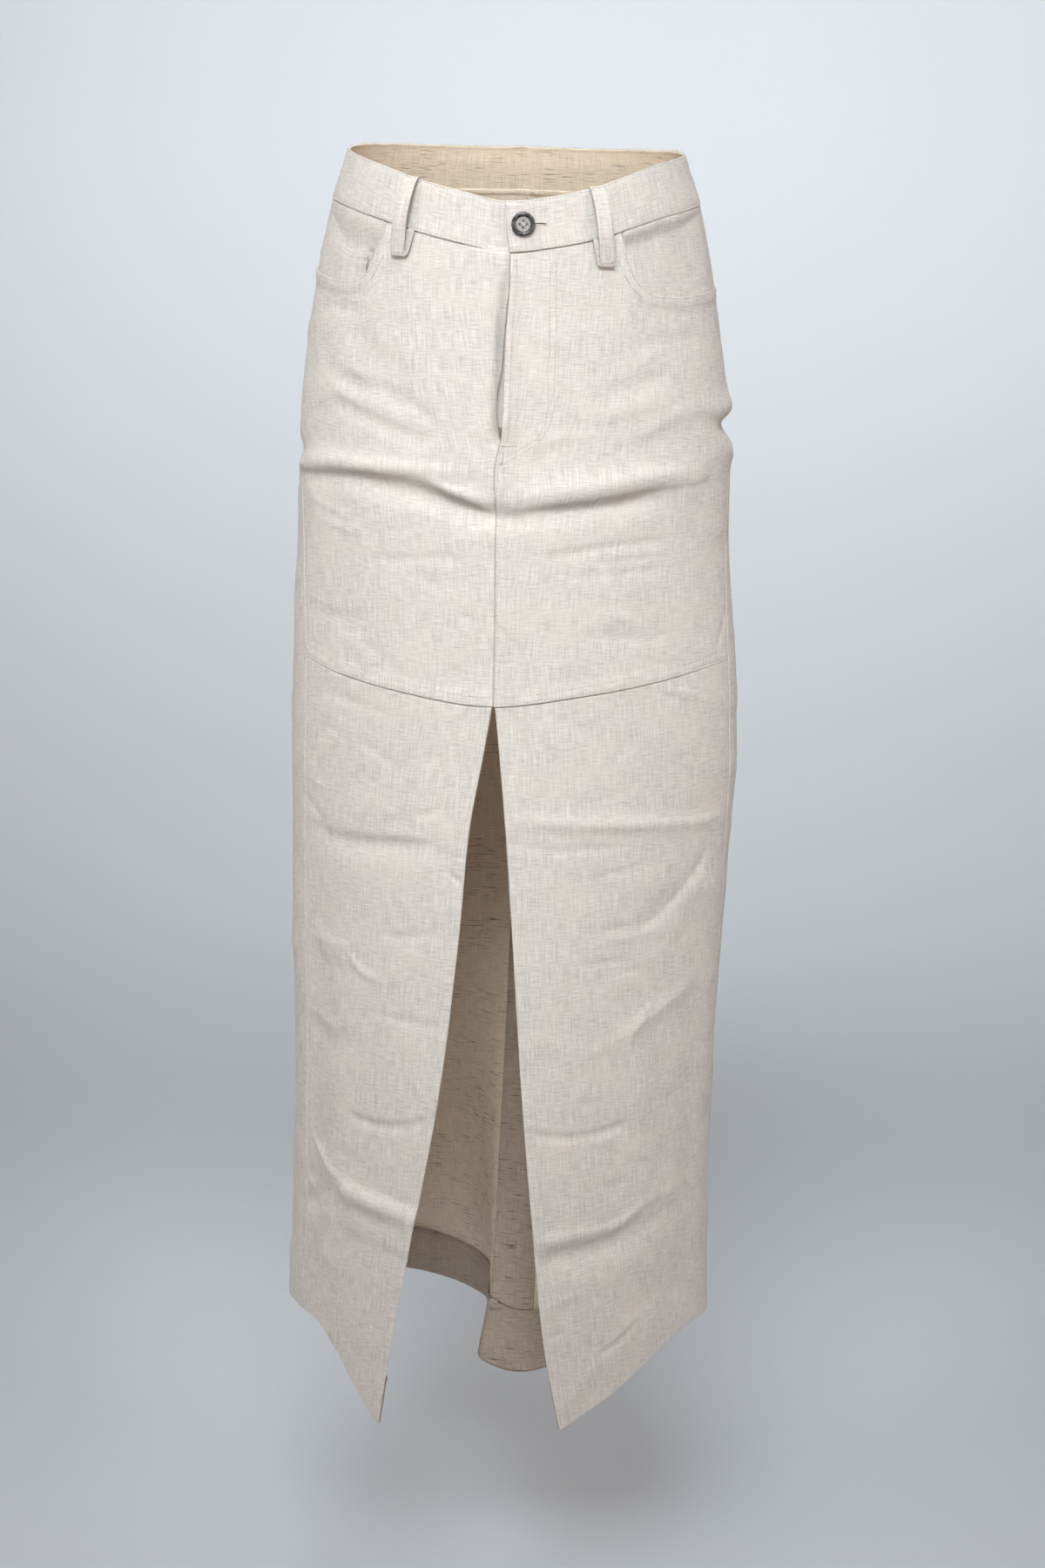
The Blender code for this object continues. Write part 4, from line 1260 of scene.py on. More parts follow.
def paced(panel: Panel, path: tuple[Array, Array], pitch: float, sway: float = 0.0) -> Callable:
    """Paces out a path on a panel for even stitches.

    Args:
        panel: The cloth that the path lies on.
        path: Its angles and heights.
        pitch: From one stitch's start to the next.
        sway: How unevenly the stitches start, in metres.

    Returns:
        A function that takes lengths past each start and gives the angles and heights there.
    """
    points, _ = panel.place(*path)
    reach = np.concatenate([[0], np.cumsum(np.linalg.norm(np.diff(points, axis=0), axis=1))])
    starts = np.arange(pitch * 0.3, reach[-1] - pitch, pitch)
    starts = starts + np.sin(starts * SWAY_BEAT) * sway
    return lambda past: [np.interp(starts[:, None] + past, reach, part) for part in path]


@dataclass
class Sewing:
    """Stitches, gathered into one mesh of short rounded threads."""

    name: str
    thread: float = 0.00028
    centres: list[Array] = field(default_factory=list)
    normals: list[Array] = field(default_factory=list)
    shades: list[Array] = field(default_factory=list)

    def add(self, samples: Array, normals: Array, shade: float = 0.0) -> None:
        """Keeps stitches, each as four points along it and their normals, or needle holes at shade 1, in
        painted shade.
        """
        self.centres.append(samples)
        self.normals.append(normals)
        self.shades.append(np.full(len(samples), shade))

    def run(self, panel: Panel, angle: Array, height: Array, pitch: float = 0.0031) -> None:
        """A row of running stitches on a panel, in even steps along the row.

        Args:
            panel: The cloth that the row lies on.
            angle: The path's angles.
            height: The path's heights.
            pitch: From one stitch's start to the next.
        """
        past = paced(panel, (angle, height), pitch, STITCH_SWAY)
        stitches = past(STITCH_SHARES * pitch * STITCH_PART)
        self.add(*panel.place(*stitches, arch(-0.00010, 0.00016)))
        # needle holes: short threads sunk in the cloth, coloured as painted shade
        self.add(*panel.place(*past(HOLE_SHARES * pitch), arch(-0.00024, -0.00006)), shade=1.0)

    def bar(self, panel: Panel, ends: Pairs, width: float) -> None:
        """A bar tack: close stitches across a short line between two places on a panel."""
        (a0, h0), (a1, h1) = ends
        per_degree = float(panel.form.basis(np.array(a0), np.array(h0))[2])
        long = math.hypot((a1 - a0) * per_degree, h1 - h0)
        share = np.linspace(0, 1, max(3, round(long / 0.00042)))
        square = np.array([-(h1 - h0), (a1 - a0) * per_degree]) / long
        reach = BAR_SHARES * width
        angles = (a0 + (a1 - a0) * share)[:, None] + reach * square[0] / per_degree
        heights = (h0 + (h1 - h0) * share)[:, None] + reach * square[1]
        self.add(*panel.place(angles, heights, arch(0.00005, 0.00034)))

    def build(self, material: bpy.types.Material) -> bpy.types.Object:
        """Each stitch is a four-sided tube through its four points, with closed ends."""
        centre = np.concatenate(self.centres)
        normal = np.concatenate(self.normals)
        ahead = np.gradient(centre, axis=1)
        ahead /= np.linalg.norm(ahead, axis=-1, keepdims=True)
        side = np.cross(ahead, normal)
        side /= np.linalg.norm(side, axis=-1, keepdims=True)
        up = np.cross(side, ahead)
        radius = self.thread * arch(0.55, 1.0)[None, :, None, None]
        turn = np.arange(4) * math.pi / 2
        across, out = np.cos(turn)[:, None], 0.8 * np.sin(turn)[:, None]
        ring = across * side[:, :, None, :] + out * up[:, :, None, :]
        points = (centre[:, :, None, :] + radius * ring).reshape(-1, 3)
        k, j = np.meshgrid(np.arange(3), np.arange(4), indexing="ij")
        k, j = k.ravel(), j.ravel()
        after = (j + 1) % 4
        tube = np.stack([4 * k + j, 4 * k + after, 4 * k + 4 + after, 4 * k + 4 + j], axis=1)
        caps = np.array([[3, 2, 1, 0], [12, 13, 14, 15]])
        one = np.concatenate([tube, caps])
        faces = (one[None] + 16 * np.arange(len(centre))[:, None, None]).reshape(-1, 4)
        shade = np.repeat(np.concatenate(self.shades), 16)
        return make_mesh(self.name, points, faces, np.stack([shade, 0 * shade], axis=-1), material)


# ---- The skirt's lines -------------------------------------------------------------------------

WAIST_LINE = Line(
    (
        (-180, 0.048), (-90, 0.0415), (-57, 0.0300), (-43, 0.0225), (-28, 0.0125), (-14, 0.0040),
        (0, -0.0030), (12, 0.0010), (25, 0.0085), (40, 0.0205), (52, 0.0290), (66, 0.0350),
        (90, 0.0415), (180, 0.048),
    )
)
WAIST_SEAM = WAIST_LINE.moved(-BAND_HEIGHT)
CROSS_SEAM = Line(
    (
        (-90, -0.392), (-62, -0.4015), (-45, -0.4100), (-26, -0.4185), (0, -0.4270), (20, -0.4180),
        (36, -0.4100), (57, -0.3995), (90, -0.390),
    )
)
HEM_LINE = Line(
    (
        (-180, -1.071), (-170, -1.077), (-140, -1.062), (-110, -1.036), (-86, -1.020),
        (-64, -1.017), (-53, -1.019), (-45, -1.035), (-28, -1.0905), (0, -1.105), (20, -1.0864),
        (28, -1.0735), (36, -1.0596), (47, -1.0392), (58, -1.0225), (70, -1.0180), (90, -1.0220),
        (115, -1.036), (145, -1.064), (160, -1.074), (171, -1.081), (180, -1.071),
    )
)
MOUTHS = {
    "right": Line(
        (
            (-90, -0.0610), (-67, -0.0700), (-57, -0.0725), (-49, -0.0710), (-44.2, -0.0640),
            (-41.8, -0.0510), (-39.6, -0.0350), (-38.0, -0.0220),
        )
    ),
    "left": Line(
        (
            (34.4, -0.0270), (35.4, -0.0440), (37.4, -0.0600), (41.5, -0.0730), (50, -0.0785),
            (65, -0.0768), (90, -0.0700),
        )
    ),
}
COIN_LINE = Line(((-80, -0.0280), (-62, -0.0400), (-55, -0.0465), (-44.6, -0.0485)))
SIDE_SEAMS = {
    "right": Line(((0.06, -88), (-0.08, -86), (-0.25, -74), (-0.40, -65), (-0.60, -65), (-1.10, -63))),
    "left": Line(((0.06, 88), (-0.08, 88), (-0.25, 82), (-0.40, 75), (-0.60, 78), (-1.10, 88))),
}
SLITS = {
    "right": Line(
        (
            (-0.42, -0.6), (-0.47, -2.8), (-0.53, -5.6), (-0.63, -7.9), (-0.77, -12.3),
            (-0.91, -19.2), (-1.00, -23.9), (-1.10, -27.9),
        )
    ),
    "left": Line(
        (
            (-0.42, -0.5), (-0.47, 1.1), (-0.53, 2.9), (-0.63, 5.5), (-0.77, 9.1), (-0.91, 13.4),
            (-1.00, 16.4), (-1.10, 22.0),
        )
    ),
}
# height, the lapping edge's angle and how wide the fly stands open beside it, in degrees
FLY = (
    (0.000, 1.0, 0.0), (-0.046, 1.0, 0.0), (-0.073, 1.1, 0.2), (-0.095, 0.6, 0.4),
    (-0.117, 0.3, 0.6), (-0.142, 0.2, 0.9), (-0.164, 0.1, 1.9), (-0.180, 0.0, 1.5),
    (-0.196, -0.2, 0.8), (-0.204, -0.4, 0.1), (-0.211, -1.0, 0.0), (-0.269, -1.1, 0.0),
    (-0.343, -0.8, 0.0), (-0.430, -0.6, 0.0),
)


def mouth_start(name: str) -> float:
    """Degrees from centre front to the inner end of a pocket mouth."""
    return min(abs(angle) for angle, _ in MOUTHS[name].pairs)


def fly_edge(side: int) -> Curve:
    """The fly's edge on one front: the left one laps, and the right one stands off by the opening."""
    height, edge, opening = np.array(FLY)[::-1].T

    def line(at: Array) -> Array:
        """The edge's angle at each height."""
        gap = np.maximum(smooth(at, height, opening), 0.0) if side < 0 else 0.0
        return smooth(at, height, edge) - gap

    return line


# ---- Sub-assemblies ----------------------------------------------------------------------------


@dataclass
class Workroom:
    """What every sub-assembly needs: the form, the creases, the materials and the record of pieces."""

    form: WornForm
    creasing: Creasing
    palette: Palette
    made: dict[str, bpy.types.Object] = field(default_factory=dict)

    def keep(self, piece: bpy.types.Object, node: str | None = None) -> bpy.types.Object:
        """Rides a piece on the body, and lets it stand for a node."""
        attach(piece, BODY)
        if node is not None:
            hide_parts(node)
        self.made[piece.name] = piece
        log.info("%s: %d vertices", piece.name, len(piece.data.vertices))
        return piece

    def sew(self, panel: Panel, node: str) -> bpy.types.Object:
        """Builds a panel in place of its node."""
        piece = self.keep(panel.build(self.palette), node)
        return piece

    def stitch(self, sewing: Sewing, shaded: bool = False) -> bpy.types.Object:
        """Builds gathered stitches, in the darker thread of painted shade where shaded."""
        thread = self.palette.shade_thread if shaded else self.palette.thread
        return self.keep(sewing.build(thread))


@dataclass
class Waistband:
    """One stiffened band round the body, its left end lapped over the right, with a buttonhole."""

    end: float = -0.3
    end_line: Pairs = ((0.006, -0.8), (-0.012, -0.6), (-0.030, 0.0), (-0.047, 0.9))
    under: float = 13.0
    tuck: float = 12.0
    stitch_in: float = 0.0016
    out: float = 0.0007  # how far the band lies out from the form
    end_out: float = 0.0018  # how much more its lapped end does
    lap_gap: float = 0.0016  # how much deeper than its own wall it goes on under that end
    hole: tuple[float, float] = (6.6, 11.2)
    hole_height: float = -0.0210

    def panel(self, room: Workroom) -> Panel:
        """The band as one long panel that goes round and tucks in under its own start."""
        gone_in = 360.0 + self.end - 2.0

        def layer(angle: Array) -> Array:
            """The lapped end stands up a little, and past it the band lies one band deeper."""
            end = self.end_out * bump(angle - self.end, 3.4)
            under = ease(angle, gone_in - self.tuck, gone_in)
            return self.out + end - under * (BAND_WALL + self.lap_gap)

        rows = (self.stitch_in,)
        return Panel(
            "waistband_shell",
            room.form,
            Creasing((), (Rumples(31, 90, (-180, 180), (-0.04, 0.05), (0.008, 0.02), out=0.00016),)),
            Edge(Line(self.end_line), Kind.FREE, rows=rows, thick=0.0002),
            Edge(constant(360.0 + self.under), Kind.FREE, thick=0.0002),
            Edge(WAIST_LINE.moved(-SEAM_GAP / 2), Kind.FREE, rows=rows, thick=0.0002),
            Edge(WAIST_SEAM.moved(SEAM_GAP / 2), Kind.LAPS, rows=rows, thick=0.0002, paling=(30, 62)),
            size=(0.90, BAND_HEIGHT),
            cut=(0.90, BAND_HEIGHT),
            step=0.0030,
            sunk=layer,
            wall=BAND_WALL,
            held="draped",
            grain=WAIST_LINE,
            straight=True,
        )

    def build(self, room: Workroom) -> None:
        """The band, its edge stitching and its buttonhole."""
        panel = self.panel(room)
        room.sew(panel, "waistband")
        sewing = Sewing("waistband_stitching")
        lap = 360.0 + self.end - 3.0
        for edge in (panel.top, panel.bottom):
            sewing.run(panel, *panel.path(edge, self.stitch_in, self.end + 1.6, lap, 2400))
        top, bottom = (value_at(line, 0.0) for line in (WAIST_LINE, WAIST_SEAM))
        sewing.run(panel, *panel.path(panel.start, self.stitch_in, top - 0.002, bottom + 0.002))
        room.stitch(sewing)
        hole = Sewing("buttonhole", thread=0.00022)
        level, half = self.hole_height, 0.0009
        for side in (-1, 1):
            ends = (self.hole[0], level + side * half), (self.hole[1], level + side * half)
            hole.bar(panel, ends, 0.0013)
        hole.bar(panel, ((self.hole[1], level + 0.0016), (self.hole[1], level - 0.0016)), 0.0016)
        room.stitch(hole)
        self.slit(room, panel)

    def slit(self, room: Workroom, panel: Panel) -> None:
        """The buttonhole's slit, as a painted shadow: a dark sliver between its two rows of stitches."""
        share, across = np.meshgrid(np.linspace(0, 1, 24), np.linspace(-1, 1, 4))
        angle = self.hole[0] + (self.hole[1] - self.hole[0]) * share
        breadth = 0.00042 * np.sqrt(np.clip(1 - (2 * share - 1) ** 4, 0, 1))
        points, _ = panel.place(angle, self.hole_height - across * breadth, 0.00012)
        dark = PlainFinish("slit_painted_shadow", (0.06, 0.05, 0.045)).build()
        piece = make_sheet("buttonhole_slit_painted_shadow", points, np.zeros((*share.shape, 2)), dark)
        room.keep(piece)


@dataclass
class Fronts:
    """The upper and lower fronts with their pockets, fly, cross seam and slit."""

    slit_row: float = 0.0110
    edge_row: float = 0.0016
    second_row: float = 0.0080
    fly_bottom: float = -0.203
    fly_row: float = 0.0052
    fly_curl: ClassVar[float] = 0.0030
    fly_waves: ClassVar[tuple[float, float]] = (0.25, 96.0)  # their share of the curl, radians a metre
    fly_depth: ClassVar[float] = 0.0068
    fly_curve: Pairs = (
        (-0.046, 13.9), (-0.084, 13.8), (-0.108, 13.6), (-0.144, 13.2), (-0.176, 12.8),
        (-0.190, 11.6), (-0.200, 9.2), (-0.209, 5.6), (-0.216, 2.0), (-0.219, 0.2),
    )

    def upper(self, room: Workroom, name: str) -> Panel:
        """An upper front: waist seam and pocket mouth above, cross seam below."""
        side = SIDES[name]
        mouth, start = MOUTHS[name], mouth_start(name)
        rows = (self.edge_row, self.second_row)
        top = Edge(
            below(WAIST_SEAM.moved(-SEAM_GAP / 2), mouth, side, start),
            Kind.TUCKS,
            turning=0.009,
            rows=rows,
            thick=0.0011,
            sink=0.0018,
            past=(side * (start - 0.3), side * (start + 0.2), Kind.LAPS),
        )
        if side > 0:
            middle = Edge(fly_edge(side), Kind.LAPS, rows=rows, thick=0.0007)
        else:
            open_above = (self.fly_bottom - 0.004, self.fly_bottom + 0.004, Kind.FREE)
            middle = Edge(fly_edge(side), Kind.TUCKS, sink=0.0016, past=open_above)
        outer = Edge(SIDE_SEAMS[name], Kind.BUTTS)
        cross = CROSS_SEAM.moved(SEAM_GAP / 2)
        bottom = Edge(cross, Kind.LAPS, rows=rows, thick=0.0009, paling=(38, 66))
        return Panel(
            f"front_upper_{name}_shell",
            room.form,
            room.creasing,
            *((middle, outer) if side > 0 else (outer, middle)),
            top,
            bottom,
            size=(0.215, 0.375),
            cut=(0.240 if side > 0 else 0.220, 0.400),
            cut_area=0.085 if side > 0 else 0.080,
            step=0.0028,
            finer=(side * start, side * (start + 9.0)),
            lifting=self.fly_lift if side > 0 else self.fly_sink,
        )

    @staticmethod
    def fly_lift(angle: Array, height: Array) -> Array:
        """The fly's free edge curls out a little, most where it stands open."""
        open_part = between(-height, (0.044, 0.075), (0.186, 0.208))
        wave = 1 + Fronts.fly_waves[0] * np.sin(height * Fronts.fly_waves[1])
        return Fronts.fly_curl * open_part * wave * bump(angle - 0.2, 3.2)

    @staticmethod
    def fly_sink(angle: Array, height: Array) -> Array:
        """The other front lies a little deeper beside the fly's edge."""
        open_part = between(-height, (0.034, 0.112), (0.192, 0.214))
        return -Fronts.fly_depth * open_part * ease(angle, -4.4, 0.0)

    def lower(self, room: Workroom, name: str) -> Panel:
        """A lower front: cross seam above, hem below, parted from the other by the slit."""
        side = SIDES[name]
        slit = Edge(SLITS[name], Kind.FREE, turning=self.slit_row, rows=(self.slit_row,), thick=0.0006)
        outer = Edge(SIDE_SEAMS[name], Kind.BUTTS)
        return Panel(
            f"front_lower_{name}_shell",
            room.form,
            room.creasing,
            *((slit, outer) if side > 0 else (outer, slit)),
            Edge(CROSS_SEAM.moved(-SEAM_GAP / 2), Kind.TUCKS, sink=0.0022, paling=(38, 66)),
            Edge(HEM_LINE.moved(SEAM_GAP / 2), Kind.FREE, turning=HEM_DEPTH, thick=0.0004),
            size=(0.205, 0.650) if side > 0 else (0.170, 0.640),
            cut=(0.235 if side > 0 else 0.195, 0.700),
            cut_area=0.141 if side > 0 else 0.102,
            step=0.0028,
        )

    def build(self, room: Workroom) -> None:
        """Both sides of the front, and the sewing on them."""
        for name in SIDES:
            upper, lower = self.upper(room, name), self.lower(room, name)
            room.sew(upper, f"front_upper_{name}")
            room.sew(lower, f"front_lower_{name}")
            room.stitch(self.sewing(upper, lower, name))

    def sewing(self, upper: Panel, lower: Panel, name: str) -> Sewing:
        """Rows along the pocket mouth, the cross seam, the slit and, on the left, fly and centre."""
        side = SIDES[name]
        sewing = Sewing(f"front_{name}_stitching")
        start = mouth_start(name)
        outer = {"right": 64.0, "left": 74.0}[name]
        for row in (self.edge_row, self.second_row):
            sewing.run(upper, *upper.path(upper.top, row, side * (start + 0.8), side * 86.0, 1600))
            sewing.run(upper, *upper.path(upper.bottom, row, side * 0.6, side * outer, 900))
        slit = lower.start if side > 0 else lower.stop
        sewing.run(lower, *lower.path(slit, self.slit_row, -0.429, -1.086, 900))
        if side > 0:
            centre = upper.start
            for row in (self.edge_row, self.second_row):
                sewing.run(upper, *upper.path(centre, row, -0.218, -0.422))
            sewing.run(upper, *upper.path(centre, self.fly_row, -0.048, -0.200))
            level = np.linspace(self.fly_curve[0][0], self.fly_curve[-1][0], 300)
            curve = Line(self.fly_curve)
            for inset in (0.0, -0.0052):
                per_degree = upper.form.basis(curve(level), level)[2]
                fade = ease(level, -0.210, -0.185)
                angle = curve(level) + inset / per_degree * fade
                sewing.run(upper, angle, level + (1 - fade) * inset * -0.9)
            sewing.bar(upper, ((0.0, -0.2040), (3.4, -0.2040)), 0.0018)
            sewing.bar(upper, ((0.1, -0.2060), (-0.1, -0.2200)), 0.0020)
        return sewing


@dataclass
class Backs:
    """The plain backs, joined by a lapped centre-back seam."""

    seam_rows: tuple[float, float] = (0.0016, 0.0080)
    # the strip's width, wider than the seam's turning, so that its dark finish paints the shade on the
    # back's inside
    turning: float = 10.6  # degrees

    def allowance(self, room: Workroom) -> Panel:
        """The seam's turned edges, as a doubled strip about 38 mm wide inside, darker than the back: partly
        a real seam allowance, partly painted shade on the back's inside beside the seam.
        """
        centre = room.form.centre_back
        return Panel(
            "back_seam_allowance_and_painted_shade",
            room.form,
            room.creasing,
            raw(constant(centre - self.turning)),
            raw(constant(centre + 0.3)),
            raw(WAIST_SEAM.moved(-0.004)),
            raw(HEM_LINE.moved(HEM_DEPTH + 0.001)),
            size=(0.038, 1.020),
            cut=(0.038, 1.020),
            step=0.0030,
            sunk=constant(-0.0017),
            wall=0.0008,
            slot="linen_inside",
        )

    def panel(self, room: Workroom, name: str) -> Panel:
        """A back, from the waist seam to the hem."""
        centre = constant(room.form.centre_back)
        if name == "left":
            start = Edge(SIDE_SEAMS["left"], Kind.TUCKS)
            stop = Edge(centre, Kind.LAPS, rows=self.seam_rows)
        else:
            start = Edge(centre, Kind.TUCKS)
            right = SIDE_SEAMS["right"]
            stop = Edge(lambda at: right(at) + 360.0, Kind.TUCKS)
        return Panel(
            f"back_{name}_shell",
            room.form,
            room.creasing,
            start,
            stop,
            Edge(WAIST_SEAM.moved(-SEAM_GAP / 2), Kind.TUCKS),
            Edge(HEM_LINE.moved(SEAM_GAP / 2), Kind.FREE, turning=HEM_DEPTH, thick=0.0004),
            size=(0.300 if name == "left" else 0.345, 1.080),
            cut=(0.300 if name == "left" else 0.450, 1.130),
            cut_area=0.289 if name == "left" else 0.352,
            step=0.0044,
        )

    def build(self, room: Workroom) -> None:
        """Both backs, with two rows of stitches beside the centre seam."""
        for name in ("left", "right"):
            panel = self.panel(room, name)
            room.sew(panel, f"back_{name}")
            if name == "left":
                sewing = Sewing("back_stitching")
                for row in self.seam_rows:
                    sewing.run(panel, *panel.path(panel.stop, row, 0.003, -1.070, 1600))
                room.stitch(sewing)
        strip = self.allowance(room)
        piece = room.keep(strip.build(room.palette))


@dataclass
class Hems:
    """The turned-up hem inside each panel, with its slightly roped sewn edge."""

    sunk: float = -0.0014
    row: float = 0.0022
    pitch: float = 0.0034
    rope: tuple[float, float] = (0.0017, 0.0010)  # how deep the sewn edge goes in, and its waves

    def panel(self, room: Workroom, name: str, start: Curve, stop: Curve, width: float) -> Panel:
        """One strip of hem."""

        def roped(angle: Array, height: Array) -> Array:
            """The strip's upper edge stands in from the panel in slanted waves."""
            depth = height - HEM_LINE(wrapped(angle))
            ridge = bump(depth - HEM_DEPTH + 0.004, 0.0032)
            slant = angle * METRES_A_DEGREE + depth * 0.8
            return -ridge * (self.rope[0] + self.rope[1] * waver(slant, 0.0016, 1.3, 0.011))

        return Panel(
            name,
            room.form,
            room.creasing,
            raw(start),
            raw(stop),
            raw(HEM_LINE.moved(HEM_DEPTH)),
            raw(HEM_LINE.moved(0.0010)),
            size=(width, HEM_DEPTH),
            cut=(width, HEM_DEPTH),
            step=0.0030,
            sunk=constant(self.sunk),
            lifting=roped,
            # the doubled finish, whose darker colour paints shade on the turned-up hem
            slot="linen_inside",
            held="folded",
        )

    def build(self, room: Workroom) -> None:
        """The four strips, each with a row of stitches that shows inside."""
        right, centre = SIDE_SEAMS["right"], constant(room.form.centre_back)
        for name, start, stop, width in (
            ("front_right", right, SLITS["right"], 0.110),
            ("front_left", SLITS["left"], SIDE_SEAMS["left"], 0.190),
            ("back_left", SIDE_SEAMS["left"], centre, 0.300),
            ("back_right", centre, lambda at: right(at) + 360.0, 0.440),
        ):
            panel = self.panel(room, f"hem_{name}_shell", start, stop, width)
            room.sew(panel, f"hem_{name}")
            level = value_at(HEM_LINE, 0.0)
            low, high = value_at(start, level) + 1.0, value_at(stop, level) - 1.0
            inward = Sewing(f"hem_{name}_stitching")
            self.inner_row(inward, panel, panel.path(panel.top, self.row, low, high, 1200))
            room.stitch(inward, shaded=True)

    def inner_row(self, sewing: Sewing, panel: Panel, path: tuple[Array, Array]) -> None:
        """Stitches on a strip's inner face, whose normal is the form's turned round."""
        stitches = paced(panel, path, self.pitch)(STITCH_SHARES * self.pitch * STITCH_PART)
        found, normal = panel.place(*stitches, -WALL - arch(-0.00010, 0.00018))
        sewing.add(found, -normal)


@dataclass
class Pockets:
    """The facing that shows in each pocket mouth, and the coin pocket on the wearer's right."""

    facing_in: dict[str, float] = field(default_factory=lambda: {"right": 0.0046, "left": 0.0048})
    rise: dict[str, float] = field(default_factory=lambda: {"right": 0.030, "left": 0.015})
    seam_sink: dict[str, float] = field(default_factory=lambda: {"right": 0.0017, "left": 0.0009})
    side_rise: tuple[float, float] = (58.0, 80.0)  # degrees between which it rises to the side seam
    side_share: float = 0.85  # how much of the way it rises there
    coin_in: float = 0.0026
    coin_sides: tuple[float, float] = (-80.0, -44.6)
    coin_rows: tuple[float, float] = (0.0016, 0.0062)
    stands_off: float = 0.0036  # how far the coin pocket's inner side stands off the facing

    def facing(self, room: Workroom, name: str) -> Panel:
        """The cloth behind a mouth."""
        side = SIDES[name]
        mouth, start = MOUTHS[name], mouth_start(name)
        inner = raw(constant(side * (start - 4.0)))
        outer = Edge(SIDE_SEAMS[name], Kind.BUTTS)
        seam = WAIST_SEAM.moved(-SEAM_GAP / 2)
        low = below(seam, mouth, side, start)

        def raised(angle: Array, height: Array) -> Array:
            """Where nothing lies over it, the facing rises to the waist seam and the side seam.

            Under the coin pocket's open side it lies deeper.
            """
            near = 1 - ease(seam(angle) - height, 0.002, self.rise[name])
            near = near * ease(side * angle, start - 0.5, start + 1.5)
            at_side = self.side_share * ease(side * angle, *self.side_rise)
            level = self.facing_in[name] * np.maximum(near, at_side)
            if name == "right":
                beside = bump(angle - self.coin_sides[1] + 0.6, 0.9)
                down = between(-height, (0.044, 0.048), (0.054, 0.060))
                level = level - self.stands_off * beside * down
            return level

        return Panel(
            f"pocket_facing_{name}_shell",
            room.form,
            room.creasing,
            *((inner, outer) if side > 0 else (outer, inner)),
            Edge(seam, Kind.TUCKS, sink=self.seam_sink[name]),
            raw(lambda at: np.minimum(low(at) - 0.012, -0.062)),
            size=(0.150, 0.075),
            cut=(0.150, 0.090),
            cut_area=0.0103 if side > 0 else 0.0085,
            step=0.0018,
            sunk=constant(-self.facing_in[name]),
            lifting=raised,
        )

    def build(self, room: Workroom) -> None:
        """Both facings, the coin pocket and its top rows."""
        for name in SIDES:
            room.sew(self.facing(room, name), f"pocket_facing_{name}")
        mouth = MOUTHS["right"].moved(-0.010)
        first, last = self.coin_sides

        def standing(angle: Array, height: Array) -> Array:
            """The pocket's inner side stands off a little."""
            return self.stands_off * bump(angle - last, 1.6) * ease(-height, 0.040, 0.047)

        rows = self.coin_rows
        coin = Panel(
            "coin_pocket_shell",
            room.form,
            room.creasing,
            raw(constant(first)),
            Edge(constant(last), Kind.FREE, rows=(rows[0],), thick=0.0003),
            Edge(COIN_LINE, Kind.FREE, rows=rows, thick=0.0004),
            raw(lambda at: np.minimum(mouth(at), -0.070)),
            size=(0.085, 0.036),
            cut=(0.090, 0.045),
            cut_area=0.0033,
            step=0.0025,
            sunk=constant(-self.coin_in),
            lifting=standing,
        )
        room.sew(coin, "coin_pocket")
        sewing = Sewing("coin_pocket_stitching")
        for row in rows:
            sewing.run(coin, *coin.path(coin.top, row, last - 0.6, first + 0.6))
        sewing.run(coin, *coin.path(coin.stop, rows[0], -0.0500, -0.0640))
        room.stitch(sewing)


@dataclass
class FlyUnderlap:
    """The strip that shows behind the fly where it stands open."""

    sides: tuple[float, float] = (-4.0, 10.0)
    bottom: float = -0.190
    sunk: float = -0.0098

    def build(self, room: Workroom) -> None:
        """One plain strip."""
        panel = Panel(
            "fly_underlap_shell",
            room.form,
            room.creasing,
            raw(constant(self.sides[0])),
            raw(constant(self.sides[1])),
            raw(WAIST_SEAM.moved(-0.001)),
            raw(constant(self.bottom)),
            size=(0.041, 0.150),
            cut=(0.041, 0.150),
            sunk=constant(self.sunk),
        )
        room.sew(panel, "fly_underlap")


